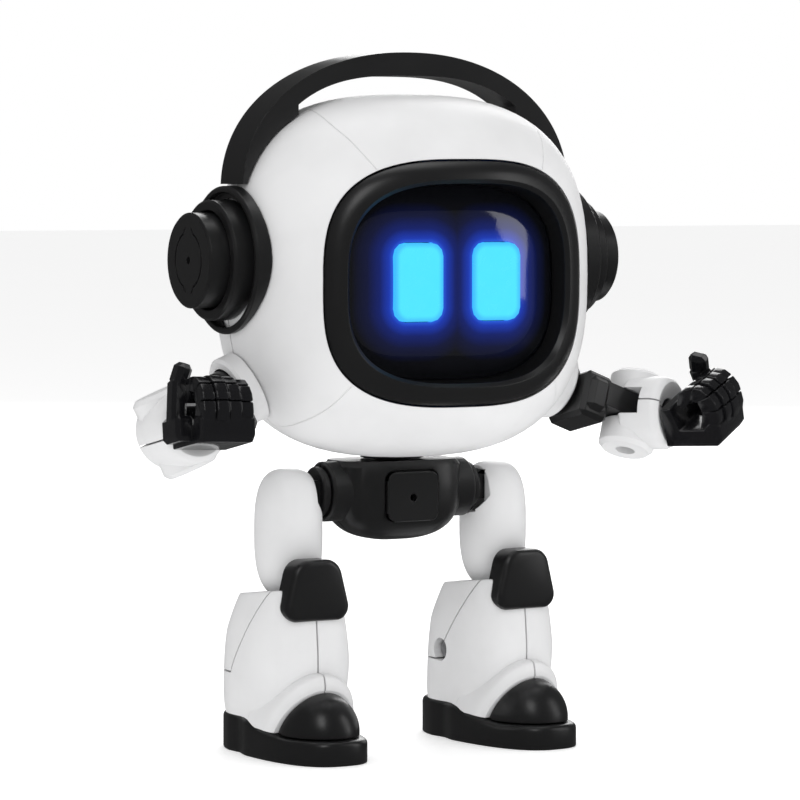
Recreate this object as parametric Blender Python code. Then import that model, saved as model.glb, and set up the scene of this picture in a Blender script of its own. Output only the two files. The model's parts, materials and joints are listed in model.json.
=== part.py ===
"""Posable toy robot: a big round head on a small pelvis, two arms and two booted legs.

Every size is in millimetres and is turned into metres when a mesh is made.
The robot faces -Y, its left side is +X, and the soles stand on Z = 0.
Paired pieces are modelled for the left side and mirrored for the right one.
"""

from math import atan2, cos, pi, radians, sin

import bmesh
import bpy
from mathutils import Euler, Matrix, Vector

MM = 0.001
GAP = 0.3
LEFT = 1
RIGHT = -1
SIDE_NAME = {LEFT: "left", RIGHT: "right"}

# Head shell
HEAD_HALF_X = 34.6
HEAD_FRONT = 24.5
HEAD_REAR = 27.6
HEAD_HALF_Z = 32.4
HEAD_Y = -1.7
HEAD_Z = 85.3
HEAD_PLAN_POWER = 2.2
HEAD_SIDE_POWER = 2.7
HEAD_WALL = 2.0
HEAD_SPLIT_Y = 1.1

# Face
FACE_Z = 84.4
FACE_HALF_X = 26.2
FACE_HALF_Z = 21.7
FACE_POWER = 3.0
FACE_RIM = 4.4
RIDGE_RISE = 2.4
LENS_Y = -20.4
LENS_SAG = 4.0
LENS_THICK = 1.4
EYE_X = 7.9
EYE_Z = 84.6
EYE_HALF_X = 4.8
EYE_HALF_Z = 6.85
EYE_RADIUS = 2.3

# Back of the head
DOOR_Z = 86.0
DOOR_HALF_X = 11.0
DOOR_HALF_Z = 8.5
SWITCH_Z = 70.0
SPEAKER_Z = 103.5

# Headband
BAND_HALF_X = 33.6
BAND_RISE = 24.8
BAND_Z = 100.4
BAND_POWER = 2.15
BAND_FRONT_Y = -3.1
BAND_REAR_Y = 5.3
SLOT_HALF_X = 22.4

# Ears
EAR_Y = 1.1
EAR_Z = 88.4
EAR_FACE_X = 42.2
CUP_R = 13.05
RING_R = 10.6
CAP_R = 8.4
CAP_TRAVEL = 0.8

# Pelvis and hips
PELVIS_Y = 3.0
PELVIS_HALF_X = 12.3
PELVIS_HALF_Y = 7.4
PELVIS_TOP = 52.2
PELVIS_WAIST = 46.5
PELVIS_BOTTOM = 37.6
PELVIS_WALL = 1.7
NECK_R = 6.0
HIP_X = 21.3
HIP_Z = 46.7
STUB_R = 5.4
DISC_R = 4.5

# Thighs and knees
THIGH_R = 6.0
THIGH_TOP = 51.1
THIGH_BOTTOM = 27.9
KNEE_Z = 33.5

# Boots
BOOT_TOP = 30.3
SOLE_THICK = 4.4
HEEL_RISE = (0.9, 1.4)
TOE_TOP = (-9.4, 11.8)
TOE_LEAN = 0.6
TOE_NOSE = -15.4
BOOT_YAW = {LEFT: 6.5, RIGHT: -2.5}

# Arms
SHOULDER = (34.2, 1.1, 64.7)
SHOULDER_TILT = 22.0
ARM_TWIST = {LEFT: 14.0, RIGHT: 10.0}
ELBOW_AT = (14.2, -4.6, -1.2)
COLLAR_R = 6.6
ARM_DRUM_R = 4.6
TONGUE_HALF = 2.25
LUG_R = 5.1
LUG_END = 7.4
DRUM_R = 6.75
DRUM_LENGTH = 8.4
ELBOW_BEND = {LEFT: 64.0, RIGHT: 94.0}
WRIST_TURN = {LEFT: 46.0, RIGHT: 24.0}

# Shift that puts the origin under the middle of the robot's box
FRAME_SHIFT = (-3.59, -0.18)

MATERIALS = {}
PALETTE = {
    "white_shell": ((0.84, 0.84, 0.85), 0.38, 0.0),
    "black_satin": ((0.022, 0.022, 0.024), 0.42, 0.0),
    "black_gloss": ((0.014, 0.014, 0.016), 0.16, 0.0),
    "smoked_lens": ((0.012, 0.013, 0.018), 0.08, 0.0),
    "eye_light": ((0.08, 0.78, 0.93), 0.3, 0.0),
    "circuit_board": ((0.02, 0.16, 0.07), 0.45, 0.0),
    "cell_steel": ((0.62, 0.62, 0.6), 0.28, 1.0),
    "screw_steel": ((0.4, 0.4, 0.41), 0.32, 1.0),
}


def clear_scene():
    """Start from an empty scene."""
    for obj in list(bpy.data.objects):
        bpy.data.objects.remove(obj)


def material(slot):
    """Return the Principled material for a slot, made on first use."""
    if slot not in MATERIALS:
        colour, roughness, metallic = PALETTE[slot]
        made = bpy.data.materials.new(slot)
        made.use_nodes = True
        shader = made.node_tree.nodes["Principled BSDF"]
        shader.inputs["Base Color"].default_value = (*colour, 1.0)
        shader.inputs["Roughness"].default_value = roughness
        shader.inputs["Metallic"].default_value = metallic
        MATERIALS[slot] = made
    return MATERIALS[slot]


# ---------------------------------------------------------------- mesh makers


def signed_power(value, power):
    """Raise a value's size to a power and keep its sign."""
    return abs(value) ** power if value >= 0.0 else -(abs(value) ** power)


def superellipse(half_u, half_v, power, count):
    """Points of a rounded outline, counter-clockwise from +U."""
    points = []
    for step in range(count):
        angle = 2.0 * pi * step / count
        u = half_u * signed_power(cos(angle), 2.0 / power)
        v = half_v * signed_power(sin(angle), 2.0 / power)
        points.append((u, v))
    return points


def rounded_rectangle(half_u, half_v, radius, steps=4):
    """Points of a rectangle with round corners, counter-clockwise."""
    points = []
    for quarter, (su, sv) in enumerate(((1, 1), (-1, 1), (-1, -1), (1, -1))):
        for step in range(steps + 1):
            angle = pi / 2.0 * (quarter + step / steps)
            u = su * (half_u - radius) + radius * cos(angle)
            v = sv * (half_v - radius) + radius * sin(angle)
            points.append((u, v))
    return points


def loft(rings, closed=False, seam=None):
    """Join rings of points into one closed skin, capped or joined end to end.

    With a seam, the caps are strips across the outline, mirrored about that point.
    """
    bm = bmesh.new()
    rows = [[bm.verts.new(Vector(point) * MM) for point in ring] for ring in rings]
    pairs = list(zip(rows, rows[1:]))
    if closed:
        pairs.append((rows[-1], rows[0]))
    for low, high in pairs:
        join_rows(bm, low, high)
    if not closed:
        for row in (rows[0], rows[-1]):
            if len(row) > 2 and seam is None:
                bm.faces.new(row)
            elif len(row) > 2:
                strip_cap(bm, row, seam)
    bmesh.ops.recalc_face_normals(bm, faces=bm.faces)
    return bm


def strip_cap(bm, row, seam):
    """Close a ring with strips between points mirrored about the seam."""
    count = len(row)
    for step in range(count // 2):
        corners = []
        for offset in (step, step + 1, -step - 1, -step):
            corner = row[(seam + offset) % count]
            if corner not in corners:
                corners.append(corner)
        bm.faces.new(corners)


def join_rows(bm, low, high):
    """Faces between two rings, either of which may be a single point."""
    count = max(len(low), len(high))
    for index in range(count):
        after = (index + 1) % count
        if len(low) == 1:
            bm.faces.new((low[0], high[after], high[index]))
        elif len(high) == 1:
            bm.faces.new((low[index], low[after], high[0]))
        else:
            bm.faces.new((low[index], low[after], high[after], high[index]))


def revolve(profile, axis="Z", segments=32, closed=False):
    """Turn a profile of (radius, height) about an axis through the origin."""
    rings = []
    for radius, height in profile:
        if radius == 0.0:
            rings.append([oriented(0.0, 0.0, height, axis)])
            continue
        ring = []
        for step in range(segments):
            angle = 2.0 * pi * (step + 0.37) / segments
            ring.append(oriented(radius * cos(angle), radius * sin(angle), height, axis))
        rings.append(ring)
    return loft(rings, closed)


def oriented(u, v, height, axis):
    """Place a point of a profile whose height runs along the given axis."""
    if axis == "X":
        return (height, u, v)
    if axis == "Y":
        return (v, height, u)
    return (u, v, height)


def prism(outline, low, high, axis="Z"):
    """Extrude an outline between two heights along an axis."""
    rings = [[oriented(u, v, height, axis) for u, v in outline] for height in (low, high)]
    return loft(rings)


def box(low, high):
    """A plain block between two corners."""
    corners = [(low[0], low[1]), (high[0], low[1]), (high[0], high[1]), (low[0], high[1])]
    return prism(corners, low[2], high[2])


def rounded_box(low, high, radius, segments=2):
    """A block with every edge rounded."""
    bm = box(low, high)
    bmesh.ops.bevel(
        bm, geom=bm.edges[:], offset=radius * MM, segments=segments, affect="EDGES", profile=0.5
    )
    return bm


def moved(bm, offset=(0.0, 0.0, 0.0), rotation=(0.0, 0.0, 0.0)):
    """Rotate a mesh by degrees about the axes, then move it by millimetres."""
    turn = Euler([radians(angle) for angle in rotation]).to_matrix().to_4x4()
    bmesh.ops.transform(bm, matrix=Matrix.Translation(Vector(offset) * MM) @ turn, verts=bm.verts)
    return bm


# -------------------------------------------------------------- object makers


def link(name, data, parent, location, rotation, side):
    """Put an object in the scene under its parent, mirrored for the right side."""
    obj = bpy.data.objects.new(name, data)
    bpy.context.scene.collection.objects.link(obj)
    obj.parent = parent
    obj.location = Vector((side * location[0], location[1], location[2])) * MM
    turn = (rotation[0], side * rotation[1], side * rotation[2])
    obj.rotation_euler = [radians(angle) for angle in turn]
    return obj


def joint(name, parent, location=(0.0, 0.0, 0.0), rotation=(0.0, 0.0, 0.0), side=LEFT):
    """An empty on a joint's axis."""
    return link(name, None, parent, location, rotation, side)


def mesh_from(bm, name, side):
    """Turn a bmesh into mesh data, mirrored in X for the right side."""
    if side == RIGHT:
        bmesh.ops.scale(bm, vec=(-1.0, 1.0, 1.0), verts=bm.verts)
        bmesh.ops.reverse_faces(bm, faces=bm.faces)
    data = bpy.data.meshes.new(name)
    bm.to_mesh(data)
    bm.free()
    return data


def part(name, bm, slot, parent, side=LEFT, location=(0.0, 0.0, 0.0), rotation=(0.0, 0.0, 0.0)):
    """A visible sub-part with its material and smooth shading."""
    data = mesh_from(bm, name, side)
    data.materials.append(material(slot))
    data.shade_smooth()
    data.set_sharp_from_angle(angle=radians(35.0))
    return link(name, data, parent, location, rotation, side)


def cutter(bm, parent, side=LEFT, location=(0.0, 0.0, 0.0), rotation=(0.0, 0.0, 0.0)):
    """A hidden tool body for a Boolean."""
    data = mesh_from(bm, "cutter", side)
    obj = link("cutter", data, parent, location, rotation, side)
    obj.hide_render = True
    obj.display_type = "WIRE"
    return obj


def combine(obj, tool, operation):
    """Add an exact Boolean of a tool body to an object."""
    modifier = obj.modifiers.new(operation.lower(), "BOOLEAN")
    modifier.operation = operation
    modifier.object = tool
    modifier.solver = "EXACT"


def cut(obj, *tools):
    """Remove tool bodies from an object."""
    for tool in tools:
        combine(obj, tool, "DIFFERENCE")


def add(obj, *tools):
    """Fuse tool bodies into an object."""
    for tool in tools:
        combine(obj, tool, "UNION")


def keep(obj, tool):
    """Keep only what an object shares with a tool body."""
    combine(obj, tool, "INTERSECT")


# ----------------------------------------------------------------------- head


def head_solid(offset=0.0, around=32, levels=14):
    """The head's egg, grown or shrunk by an offset."""
    rings = [[(0.0, HEAD_Y, HEAD_Z - HEAD_HALF_Z - offset)]]
    for level in range(1, levels):
        angle = pi * (level / levels - 0.5)
        height = HEAD_Z + (HEAD_HALF_Z + offset) * signed_power(sin(angle), 2.0 / HEAD_SIDE_POWER)
        spread = cos(angle) ** (2.0 / HEAD_SIDE_POWER)
        ring = []
        for u, v in superellipse(spread, spread, HEAD_PLAN_POWER, around):
            depth = (HEAD_REAR if v > 0.0 else HEAD_FRONT) + offset
            ring.append((u * (HEAD_HALF_X + offset), HEAD_Y + v * depth, height))
        rings.append(ring)
    rings.append([(0.0, HEAD_Y, HEAD_Z + HEAD_HALF_Z + offset)])
    return loft(rings)


def head_front_y(x, z):
    """Y of the head's front surface above a point of the face."""
    rise = abs((z - HEAD_Z) / HEAD_HALF_Z) ** HEAD_SIDE_POWER
    reach = max(1.0 - rise, 0.0) ** (HEAD_PLAN_POWER / HEAD_SIDE_POWER)
    depth = max(reach - abs(x / HEAD_HALF_X) ** HEAD_PLAN_POWER, 0.0) ** (1.0 / HEAD_PLAN_POWER)
    return HEAD_Y - HEAD_FRONT * depth


def face_outline(inset, count=32):
    """The face opening's outline, moved inwards, as (x, z) points."""
    half_x = FACE_HALF_X - inset
    half_z = FACE_HALF_Z - inset
    return [(x, FACE_Z + z) for x, z in superellipse(half_x, half_z, FACE_POWER, count)]


def lens_y(x, z):
    """Y of the lens's front, flat in the middle and falling back at its edge."""
    across = abs(x / (FACE_HALF_X - FACE_RIM)) ** FACE_POWER
    up = abs((z - FACE_Z) / (FACE_HALF_Z - FACE_RIM)) ** FACE_POWER
    return LENS_Y + LENS_SAG * min((across + up) ** (4.0 / FACE_POWER), 1.3)


def lens_front_outline(inset, shift):
    """A face outline lying on the lens, moved back by a shift."""
    return [(x, lens_y(x, z) + shift, z) for x, z in face_outline(inset)]


def make_head_shells(body):
    """Front and rear half shells, split in the plane of the ears."""
    for name, low_y, high_y in (
        ("head_front_shell", -60.0, HEAD_SPLIT_Y - GAP / 2.0),
        ("head_rear_shell", HEAD_SPLIT_Y + GAP / 2.0, 60.0),
    ):
        shell = part(name, head_solid(), "white_shell", body)
        keep(shell, cutter(box((-60.0, low_y, 40.0), (60.0, high_y, 140.0)), body))
        cut(shell, cutter(head_solid(-HEAD_WALL, 24, 10), body))
        neck = revolve([(0.0, 48.0), (NECK_R + GAP, 48.0), (NECK_R + GAP, 60.0), (0.0, 60.0)])
        cut(shell, cutter(moved(neck, (0.0, PELVIS_Y, 0.0)), body))
        for side in (LEFT, RIGHT):
            cut(shell, cutter(ear_bore(), body, side))
            arm_hole = revolve([(0.0, -14.0), (4.9, -14.0), (4.9, 6.0), (0.0, 6.0)], "X", 18)
            cut(shell, cutter(arm_hole, body, side, SHOULDER, (0.0, SHOULDER_TILT, 0.0)))
        if name == "head_front_shell":
            outline = [(z, x) for x, z in face_outline(-0.05)]
            cut(shell, cutter(prism(outline, -40.0, -10.0, "Y"), body))
        else:
            cut_rear_openings(shell, body)


def ear_bore():
    """The passage of the ear button's stem through the head's side."""
    bore = revolve([(0.0, 28.0), (3.4, 28.0), (3.4, 40.0), (0.0, 40.0)], "X", 14)
    return moved(bore, (0.0, EAR_Y, EAR_Z))


def cut_rear_openings(shell, body):
    """Battery bay, switch slot and sound holes in the back of the head."""
    opening = rounded_rectangle(DOOR_HALF_Z, DOOR_HALF_X, 2.0)
    bay = moved(prism(opening, 18.0, 40.0, "Y"), (0.0, 0.0, DOOR_Z))
    cut(shell, cutter(bay, body))
    slot = moved(prism(rounded_rectangle(1.5, 3.6, 0.6, 2), 10.0, 40.0, "Y"), (0.0, 0.0, SWITCH_Z))
    cut(shell, cutter(slot, body))
    for row in (-1, 0, 1):
        for column in range(-2 + abs(row), 3 - abs(row)):
            hole = revolve([(0.0, 8.0), (0.7, 8.0), (0.7, 34.0), (0.0, 34.0)], "Y", 6)
            place = (column * 2.6, 0.0, SPEAKER_Z + row * 2.4)
            cut(shell, cutter(moved(hole, place), body))


def make_bezel(body):
    """Broad rounded rim around the recessed screen."""
    edge = [head_front_y(x, z) for x, z in face_outline(0.0)]

    def ring(inset, rise):
        outline = face_outline(inset)
        return [(x, y - rise, z) for (x, z), y in zip(outline, edge)]

    rings = [
        ring(GAP, -1.7),
        ring(GAP, 0.1),
        ring(0.9, 1.1),
        ring(2.3, 2.1),
        ring(3.5, RIDGE_RISE),
        ring(4.2, RIDGE_RISE - 0.7),
        lens_front_outline(FACE_RIM + 0.1, -GAP),
        lens_front_outline(2.6, -GAP),
    ]
    part("screen_bezel", loft(rings, closed=True), "black_satin", body)


def make_lens(body):
    """Smoked lens with two windows for the eyes."""
    insets = (14.0, 9.0, 5.0, 2.8)
    front = [lens_front_outline(inset, 0.0) for inset in insets]
    back = [lens_front_outline(inset, LENS_THICK) for inset in reversed(insets)]
    lens = part("screen_lens", loft(front + back), "smoked_lens", body)
    for side in (LEFT, RIGHT):
        cut(lens, cutter(eye_block(0.15, -30.0, -5.0), body, side))
        light = eye_block(0.0, LENS_Y - 0.12, LENS_Y + 3.6)
        part("eye_light_" + SIDE_NAME[side], light, "eye_light", body, side)


def eye_block(grow, low_y, high_y):
    """A light guide with a rounded rectangular end."""
    outline = rounded_rectangle(EYE_HALF_Z + grow, EYE_HALF_X + grow, EYE_RADIUS + grow, 3)
    return moved(prism(outline, low_y, high_y, "Y"), (EYE_X, 0.0, EYE_Z))


def make_head_electronics(body):
    """Boards, speaker, cells, battery bay and switch inside the head."""
    led = box((-14.0, LENS_Y + 4.1, 75.0), (14.0, LENS_Y + 5.5, 94.0))
    part("led_board", led, "circuit_board", body)
    main = box((-14.0, -4.0, 68.0), (14.0, -2.6, 97.0))
    part("main_board", main, "circuit_board", body)
    speaker = [(0.0, 5.0), (7.0, 5.0), (7.0, 6.0), (8.0, 6.0), (8.0, 8.6), (0.0, 8.6)]
    turned = moved(revolve(speaker, "Y", 18), (0.0, 0.0, SPEAKER_Z - 1.0))
    part("speaker", turned, "black_satin", body)
    tray = part("battery_tray", box((-10.5, 10.6, 78.0), (10.5, 20.6, 94.0)), "black_satin", body)
    cut(tray, cutter(box((-9.6, 11.8, 79.0), (9.6, 22.5, 93.0)), body))
    profile = [(0.0, -8.4)]
    for cell in range(3):
        start = -8.4 + 5.6 * cell
        profile += [(4.6, start), (5.8, start + 0.7), (5.8, start + 5.3), (4.6, start + 5.6)]
    profile.append((0.0, 8.4))
    part("button_cells", revolve(profile, "X", 12), "cell_steel", body, LEFT, (0.0, 17.7, DOOR_Z))
    make_battery_door(body)
    make_switch(body)


def make_battery_door(body):
    """Screwed door that follows the back of the head."""
    outline = rounded_rectangle(DOOR_HALF_Z - GAP, DOOR_HALF_X - GAP, 1.8)
    door = part("battery_door", head_solid(), "white_shell", body)
    cut(door, cutter(head_solid(-1.5, 24, 10), body))
    keep(door, cutter(moved(prism(outline, 18.0, 40.0, "Y"), (0.0, 0.0, DOOR_Z)), body))
    screw_z = DOOR_Z + DOOR_HALF_Z - 2.8
    hole = revolve([(0.0, 18.0), (1.5, 18.0), (1.5, 40.0), (0.0, 40.0)], "Y", 10)
    cut(door, cutter(moved(hole, (0.0, 0.0, screw_z)), body))
    screw = [(0.0, 22.4), (0.5, 22.6), (0.5, 24.0), (1.2, 24.0), (1.2, 25.2), (0.0, 25.2)]
    turned = moved(revolve(screw, "Y", 10), (0.0, 0.0, screw_z))
    part("battery_door_screw", turned, "screw_steel", body)


def make_switch(body):
    """Sliding power switch in its slot."""
    slide = joint("power_slide", body, (-1.4, 0.0, SWITCH_Z))
    knob = box((-1.6, 18.5, -1.1), (1.6, 22.6, 1.1))
    base = box((-2.6, 16.5, -2.6), (2.6, 18.6, 2.6))
    switch = part("power_switch", knob, "black_satin", slide)
    add(switch, cutter(base, slide))


def make_headband(body):
    """Arch from ear to ear with a long slot above the crown."""
    steps = 26
    outline = []
    for step in range(steps + 1):
        angle = pi * step / steps
        x = BAND_HALF_X * signed_power(cos(angle), 2.0 / BAND_POWER)
        z = BAND_Z + BAND_RISE * abs(sin(angle)) ** (2.0 / BAND_POWER)
        outline.append((max(z, EAR_Z + CUP_R + GAP), x))
    outline += [(EAR_Z + CUP_R + GAP, -20.0), (EAR_Z + CUP_R + GAP, 20.0)]
    arch = prism(outline, BAND_FRONT_Y, BAND_REAR_Y, "Y")
    band = part("headband", arch, "black_satin", body)
    cut(band, cutter(head_solid(GAP), body))
    cut(band, cutter(prism(slot_outline(), -20.0, 20.0, "Y"), body))
    return band


def slot_outline():
    """Outline of the gap between the band and the crown, as (z, x) points."""
    points = []
    steps = 14
    for step in range(steps + 1):
        x = SLOT_HALF_X * cos(pi * step / steps)
        reach = abs(x / (BAND_HALF_X - 0.4)) ** 2.85
        points.append((80.0 + 41.0 * (1.0 - reach) ** (1.0 / 2.85), x))
    points += [(108.0, -SLOT_HALF_X), (108.0, SLOT_HALF_X)]
    return points


def make_ears(body):
    """Ear cups, rings and spring-loaded caps, with the shoulder collars below."""
    axis = (0.0, EAR_Y, EAR_Z)
    for side in (LEFT, RIGHT):
        name = SIDE_NAME[side]
        cup = [(10.9, 27.0), (CUP_R, 27.0), (CUP_R, 35.1), (CUP_R - 0.4, 35.5), (12.1, 35.5)]
        cup += [(11.9, 35.3), (11.9, 34.3), (10.9, 34.3)]
        turned = revolve(cup, "X", 22, closed=True)
        flange = part("ear_cup_" + name, turned, "black_satin", body, side, axis)
        cut(flange, cutter(head_solid(GAP), body))
        ring = [(3.0, 35.1), (8.6, 35.1), (8.6, 33.0), (RING_R, 33.0), (RING_R, 38.1)]
        ring += [(RING_R - 0.4, 38.5), (8.9, 38.5), (8.7, 38.3), (8.7, 36.1), (3.0, 36.1)]
        turned = revolve(ring, "X", 20, closed=True)
        holder = part("ear_ring_" + name, turned, "black_satin", body, side, axis)
        cut(holder, cutter(head_solid(GAP), body))
        press = joint("ear_press_" + name, body, (EAR_FACE_X, EAR_Y, EAR_Z), side=side)
        cap = [(0.0, -11.6), (2.6, -11.6), (2.6, -4.8), (CAP_R, -4.8), (CAP_R, -0.4), (CAP_R - 0.4, 0.0)]
        cap += [(0.7, 0.0), (0.7, -1.5), (0.0, -1.5)]
        part("ear_cap_" + name, revolve(cap, "X", 20), "black_satin", press, side)
        collar = [(4.9, -9.0), (COLLAR_R, -9.0), (COLLAR_R, -0.5), (COLLAR_R - 0.5, 0.0), (4.9, 0.0)]
        turned = revolve(collar, "X", 18, closed=True)
        tilt = (0.0, SHOULDER_TILT, 0.0)
        tube = part("shoulder_collar_" + name, turned, "white_shell", body, side, SHOULDER, tilt)
        cut(tube, cutter(head_solid(GAP), body))


# --------------------------------------------------------------------- pelvis


def pelvis_solid(inset=0.0, top=PELVIS_TOP):
    """Block with upright sides and a deep rounded bottom."""
    drop = PELVIS_WAIST - PELVIS_BOTTOM - inset
    rings = [[(0.0, PELVIS_Y, PELVIS_WAIST - drop)]]
    for step in range(1, 6):
        angle = pi / 2.0 * step / 5
        spread = sin(angle) ** (2.0 / 2.6)
        height = PELVIS_WAIST - drop * cos(angle) ** (2.0 / 2.6)
        rings.append(pelvis_ring(spread, height, inset))
    rings.append(pelvis_ring(1.0, top - 1.0, inset))
    rings.append(pelvis_ring(0.94, top, inset))
    return loft(rings)


def pelvis_ring(spread, height, inset):
    """One level of the pelvis."""
    outline = superellipse(PELVIS_HALF_X - inset, PELVIS_HALF_Y - inset, 3.4, 20)
    return [(x * spread, PELVIS_Y + y * spread, height) for x, y in outline]


def make_pelvis(body):
    """Two pelvis shells, the belly plate and the neck spigot."""
    for name, low_y, high_y in (
        ("pelvis_front_shell", -30.0, PELVIS_Y - GAP / 2.0),
        ("pelvis_rear_shell", PELVIS_Y + GAP / 2.0, 30.0),
    ):
        shell = part(name, pelvis_solid(), "black_satin", body)
        for side in (LEFT, RIGHT):
            stub = [(0.0, 8.0), (STUB_R, 8.0), (STUB_R, 14.3), (STUB_R - 0.4, 14.7), (0.0, 14.7)]
            turned = moved(revolve(stub, "X", 16), (0.0, PELVIS_Y, HIP_Z))
            add(shell, cutter(turned, body, side))
        cut(shell, cutter(pelvis_solid(PELVIS_WALL, PELVIS_TOP - PELVIS_WALL), body))
        for side in (LEFT, RIGHT):
            bore = revolve([(0.0, 5.0), (3.2, 5.0), (3.2, 16.0), (0.0, 16.0)], "X", 12)
            cut(shell, cutter(moved(bore, (0.0, PELVIS_Y, HIP_Z)), body, side))
        neck = revolve([(0.0, 48.0), (3.3, 48.0), (3.3, 54.0), (0.0, 54.0)], "Z", 12)
        cut(shell, cutter(moved(neck, (0.0, PELVIS_Y, 0.0)), body))
        keep(shell, cutter(box((-30.0, low_y, 20.0), (30.0, high_y, 70.0)), body))
        if name == "pelvis_front_shell":
            pocket = prism(rounded_rectangle(4.5 + GAP, 5.25 + GAP, 1.9), -8.0, -3.6, "Y")
            cut(shell, cutter(moved(pocket, (0.0, 0.0, 45.8)), body))
            hole = revolve([(0.0, -5.0), (0.7, -5.0), (0.7, 0.0), (0.0, 0.0)], "Y", 8)
            cut(shell, cutter(moved(hole, (0.0, 0.0, 45.6)), body))
    plate = prism(rounded_rectangle(4.5, 5.25, 1.6), -4.9, -3.9, "Y")
    bmesh.ops.bevel(plate, geom=plate.edges[:], offset=0.2 * MM, segments=1, affect="EDGES")
    belly = part("belly_plate", moved(plate, (0.0, 0.0, 45.8)), "black_satin", body)
    hole = revolve([(0.0, -6.0), (0.7, -6.0), (0.7, 0.0), (0.0, 0.0)], "Y", 8)
    cut(belly, cutter(moved(hole, (0.0, 0.0, 45.6)), body))
    spigot = [(0.0, 47.4), (3.9, 47.4), (3.9, 49.9), (3.0, 49.9), (3.0, 52.5), (5.7, 52.5), (5.7, 57.4)]
    spigot += [(7.2, 57.4), (7.2, 58.6), (0.0, 58.6)]
    part("neck_spigot", revolve(spigot, "Z", 16), "black_satin", body, LEFT, (0.0, PELVIS_Y, 0.0))


# ----------------------------------------------------------------------- legs


def make_leg(pelvis, side):
    """Hip yoke, thigh, knee link and boot of one leg."""
    name = SIDE_NAME[side]
    swing = joint("hip_swing_" + name, pelvis, (HIP_X, PELVIS_Y, HIP_Z), side=side)
    make_hip_yoke(swing, side, name)
    spread = joint("hip_spread_" + name, swing, side=side)
    make_thigh(spread, side, name)
    knee = joint("knee_" + name, spread, (0.0, 0.0, KNEE_Z - HIP_Z), side=side)
    make_knee_link(knee, side, name)
    yaw = (0.0, 0.0, BOOT_YAW[side])
    turn = joint("boot_turn_" + name, knee, (0.0, 0.0, -KNEE_Z), yaw, side)
    make_boot(turn, side, name)


def make_hip_yoke(swing, side, name):
    """Disc that turns on the pelvis stub and carries the spread pin's eye."""
    turned = [(0.0, -17.0), (3.7, -17.0), (3.7, -15.8), (2.9, -15.8), (2.9, -6.3), (DISC_R, -6.3)]
    turned += [(DISC_R, -5.5), (DISC_R - 0.4, -5.1), (0.0, -5.1)]
    yoke = part("hip_yoke_" + name, revolve(turned, "X", 16), "black_satin", swing, side)
    arm = box((-5.6, -2.4, -2.2), (0.0, 2.4, 2.2))
    eye = revolve([(0.0, -2.4), (2.7, -2.4), (2.7, 2.4), (0.0, 2.4)], "Y", 14)
    add(yoke, cutter(arm, swing, side), cutter(eye, swing, side))
    hole = revolve([(0.0, -3.0), (1.1, -3.0), (1.1, 3.0), (0.0, 3.0)], "Y", 10)
    cut(yoke, cutter(hole, swing, side))


def thigh_solid():
    """Upright capsule that narrows a little towards the knee."""
    middle = (THIGH_TOP + THIGH_BOTTOM) / 2.0 - HIP_Z
    top = THIGH_TOP - HIP_Z
    bottom = THIGH_BOTTOM - HIP_Z
    rings = [[(0.0, 0.0, bottom)]]
    levels = 10
    for level in range(1, levels):
        angle = pi * (level / levels - 0.5)
        reach = top - middle if angle > 0.0 else middle - bottom
        power = 2.0 / 3.0 if angle > 0.0 else 2.0 / 2.7
        height = middle + reach * signed_power(sin(angle), power)
        spread = cos(angle) ** power
        half = THIGH_R * spread
        rings.append([(x, y, height) for x, y in superellipse(half, half, 2.15, 16)])
    rings.append([(0.0, 0.0, top)])
    return loft(rings)


def make_thigh(spread, side, name):
    """Thigh with the hip notch above and the knee slot below, and its pins."""
    thigh = part("thigh_" + name, thigh_solid(), "white_shell", spread, side)
    knee = KNEE_Z - HIP_Z
    recess = revolve([(0.0, -9.0), (5.0, -9.0), (5.0, -3.4), (0.0, -3.4)], "X", 14)
    slot = box((-9.0, -2.75, -4.6), (3.1, 2.75, 3.0))
    link_slot = box((-2.3, -3.8, knee - 9.0), (2.3, 9.0, knee + 3.7))
    tools = [recess, slot, link_slot]
    for bore, low, high, height, axis in ((1.15, -4.4, 4.4, 0.0, "Y"), (1.15, -5.0, 5.0, knee, "X")):
        hole = revolve([(0.0, low), (bore, low), (bore, high), (0.0, high)], axis, 10)
        tools.append(moved(hole, (0.0, 0.0, height)))
    cut(thigh, *[cutter(tool, spread, side) for tool in tools])
    pin = revolve([(0.0, -4.1), (0.85, -4.1), (0.85, 4.1), (0.0, 4.1)], "Y", 10)
    part("hip_pin_" + name, pin, "screw_steel", spread, side)


def make_knee_link(knee, side, name):
    """Boss with two trunnions for the knee, above a peg that the boot turns on."""
    boss = [(0.0, -4.7), (0.95, -4.7), (0.95, -2.0), (3.3, -2.0)]
    boss += [(radius, -height) for radius, height in reversed(boss)]
    link_part = part("knee_link_" + name, revolve(boss, "X", 14), "black_satin", knee, side)
    peg = [(0.0, -14.6), (4.2, -14.6), (4.2, -13.4), (2.4, -13.4), (2.4, -9.2)]
    peg += [(1.7, -9.2), (1.7, -1.0), (0.0, -1.0)]
    add(link_part, cutter(revolve(peg, "Z", 12), knee, side))


BOOT_LEVELS = (
    # height, middle y, half x, half y, outline power
    (SOLE_THICK + GAP, 5.9, 8.3, 11.0, 2.6),
    (9.0, 5.0, 8.9, 11.3, 2.8),
    (12.0, 4.2, 9.4, 11.1, 3.0),
    (17.0, 3.7, 9.7, 10.9, 3.0),
    (22.0, 3.6, 9.3, 10.5, 3.0),
    (26.0, 3.3, 8.6, 9.8, 3.0),
    (BOOT_TOP - 0.5, 3.0, 7.6, 8.9, 3.0),
    (BOOT_TOP, 3.0, 7.1, 8.4, 3.0),
)
FOOT_SECTIONS = (
    # distance behind the toe cap, half width, height of the top
    (GAP, 7.9, 12.6),
    (1.3, 8.6, 14.1),
    (3.2, 9.0, 15.4),
    (9.0, 8.8, 15.4),
)
BOOT_SLANT = 0.11
BOOT_SCREW = (0.0, 3.3, 16.7)


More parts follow.
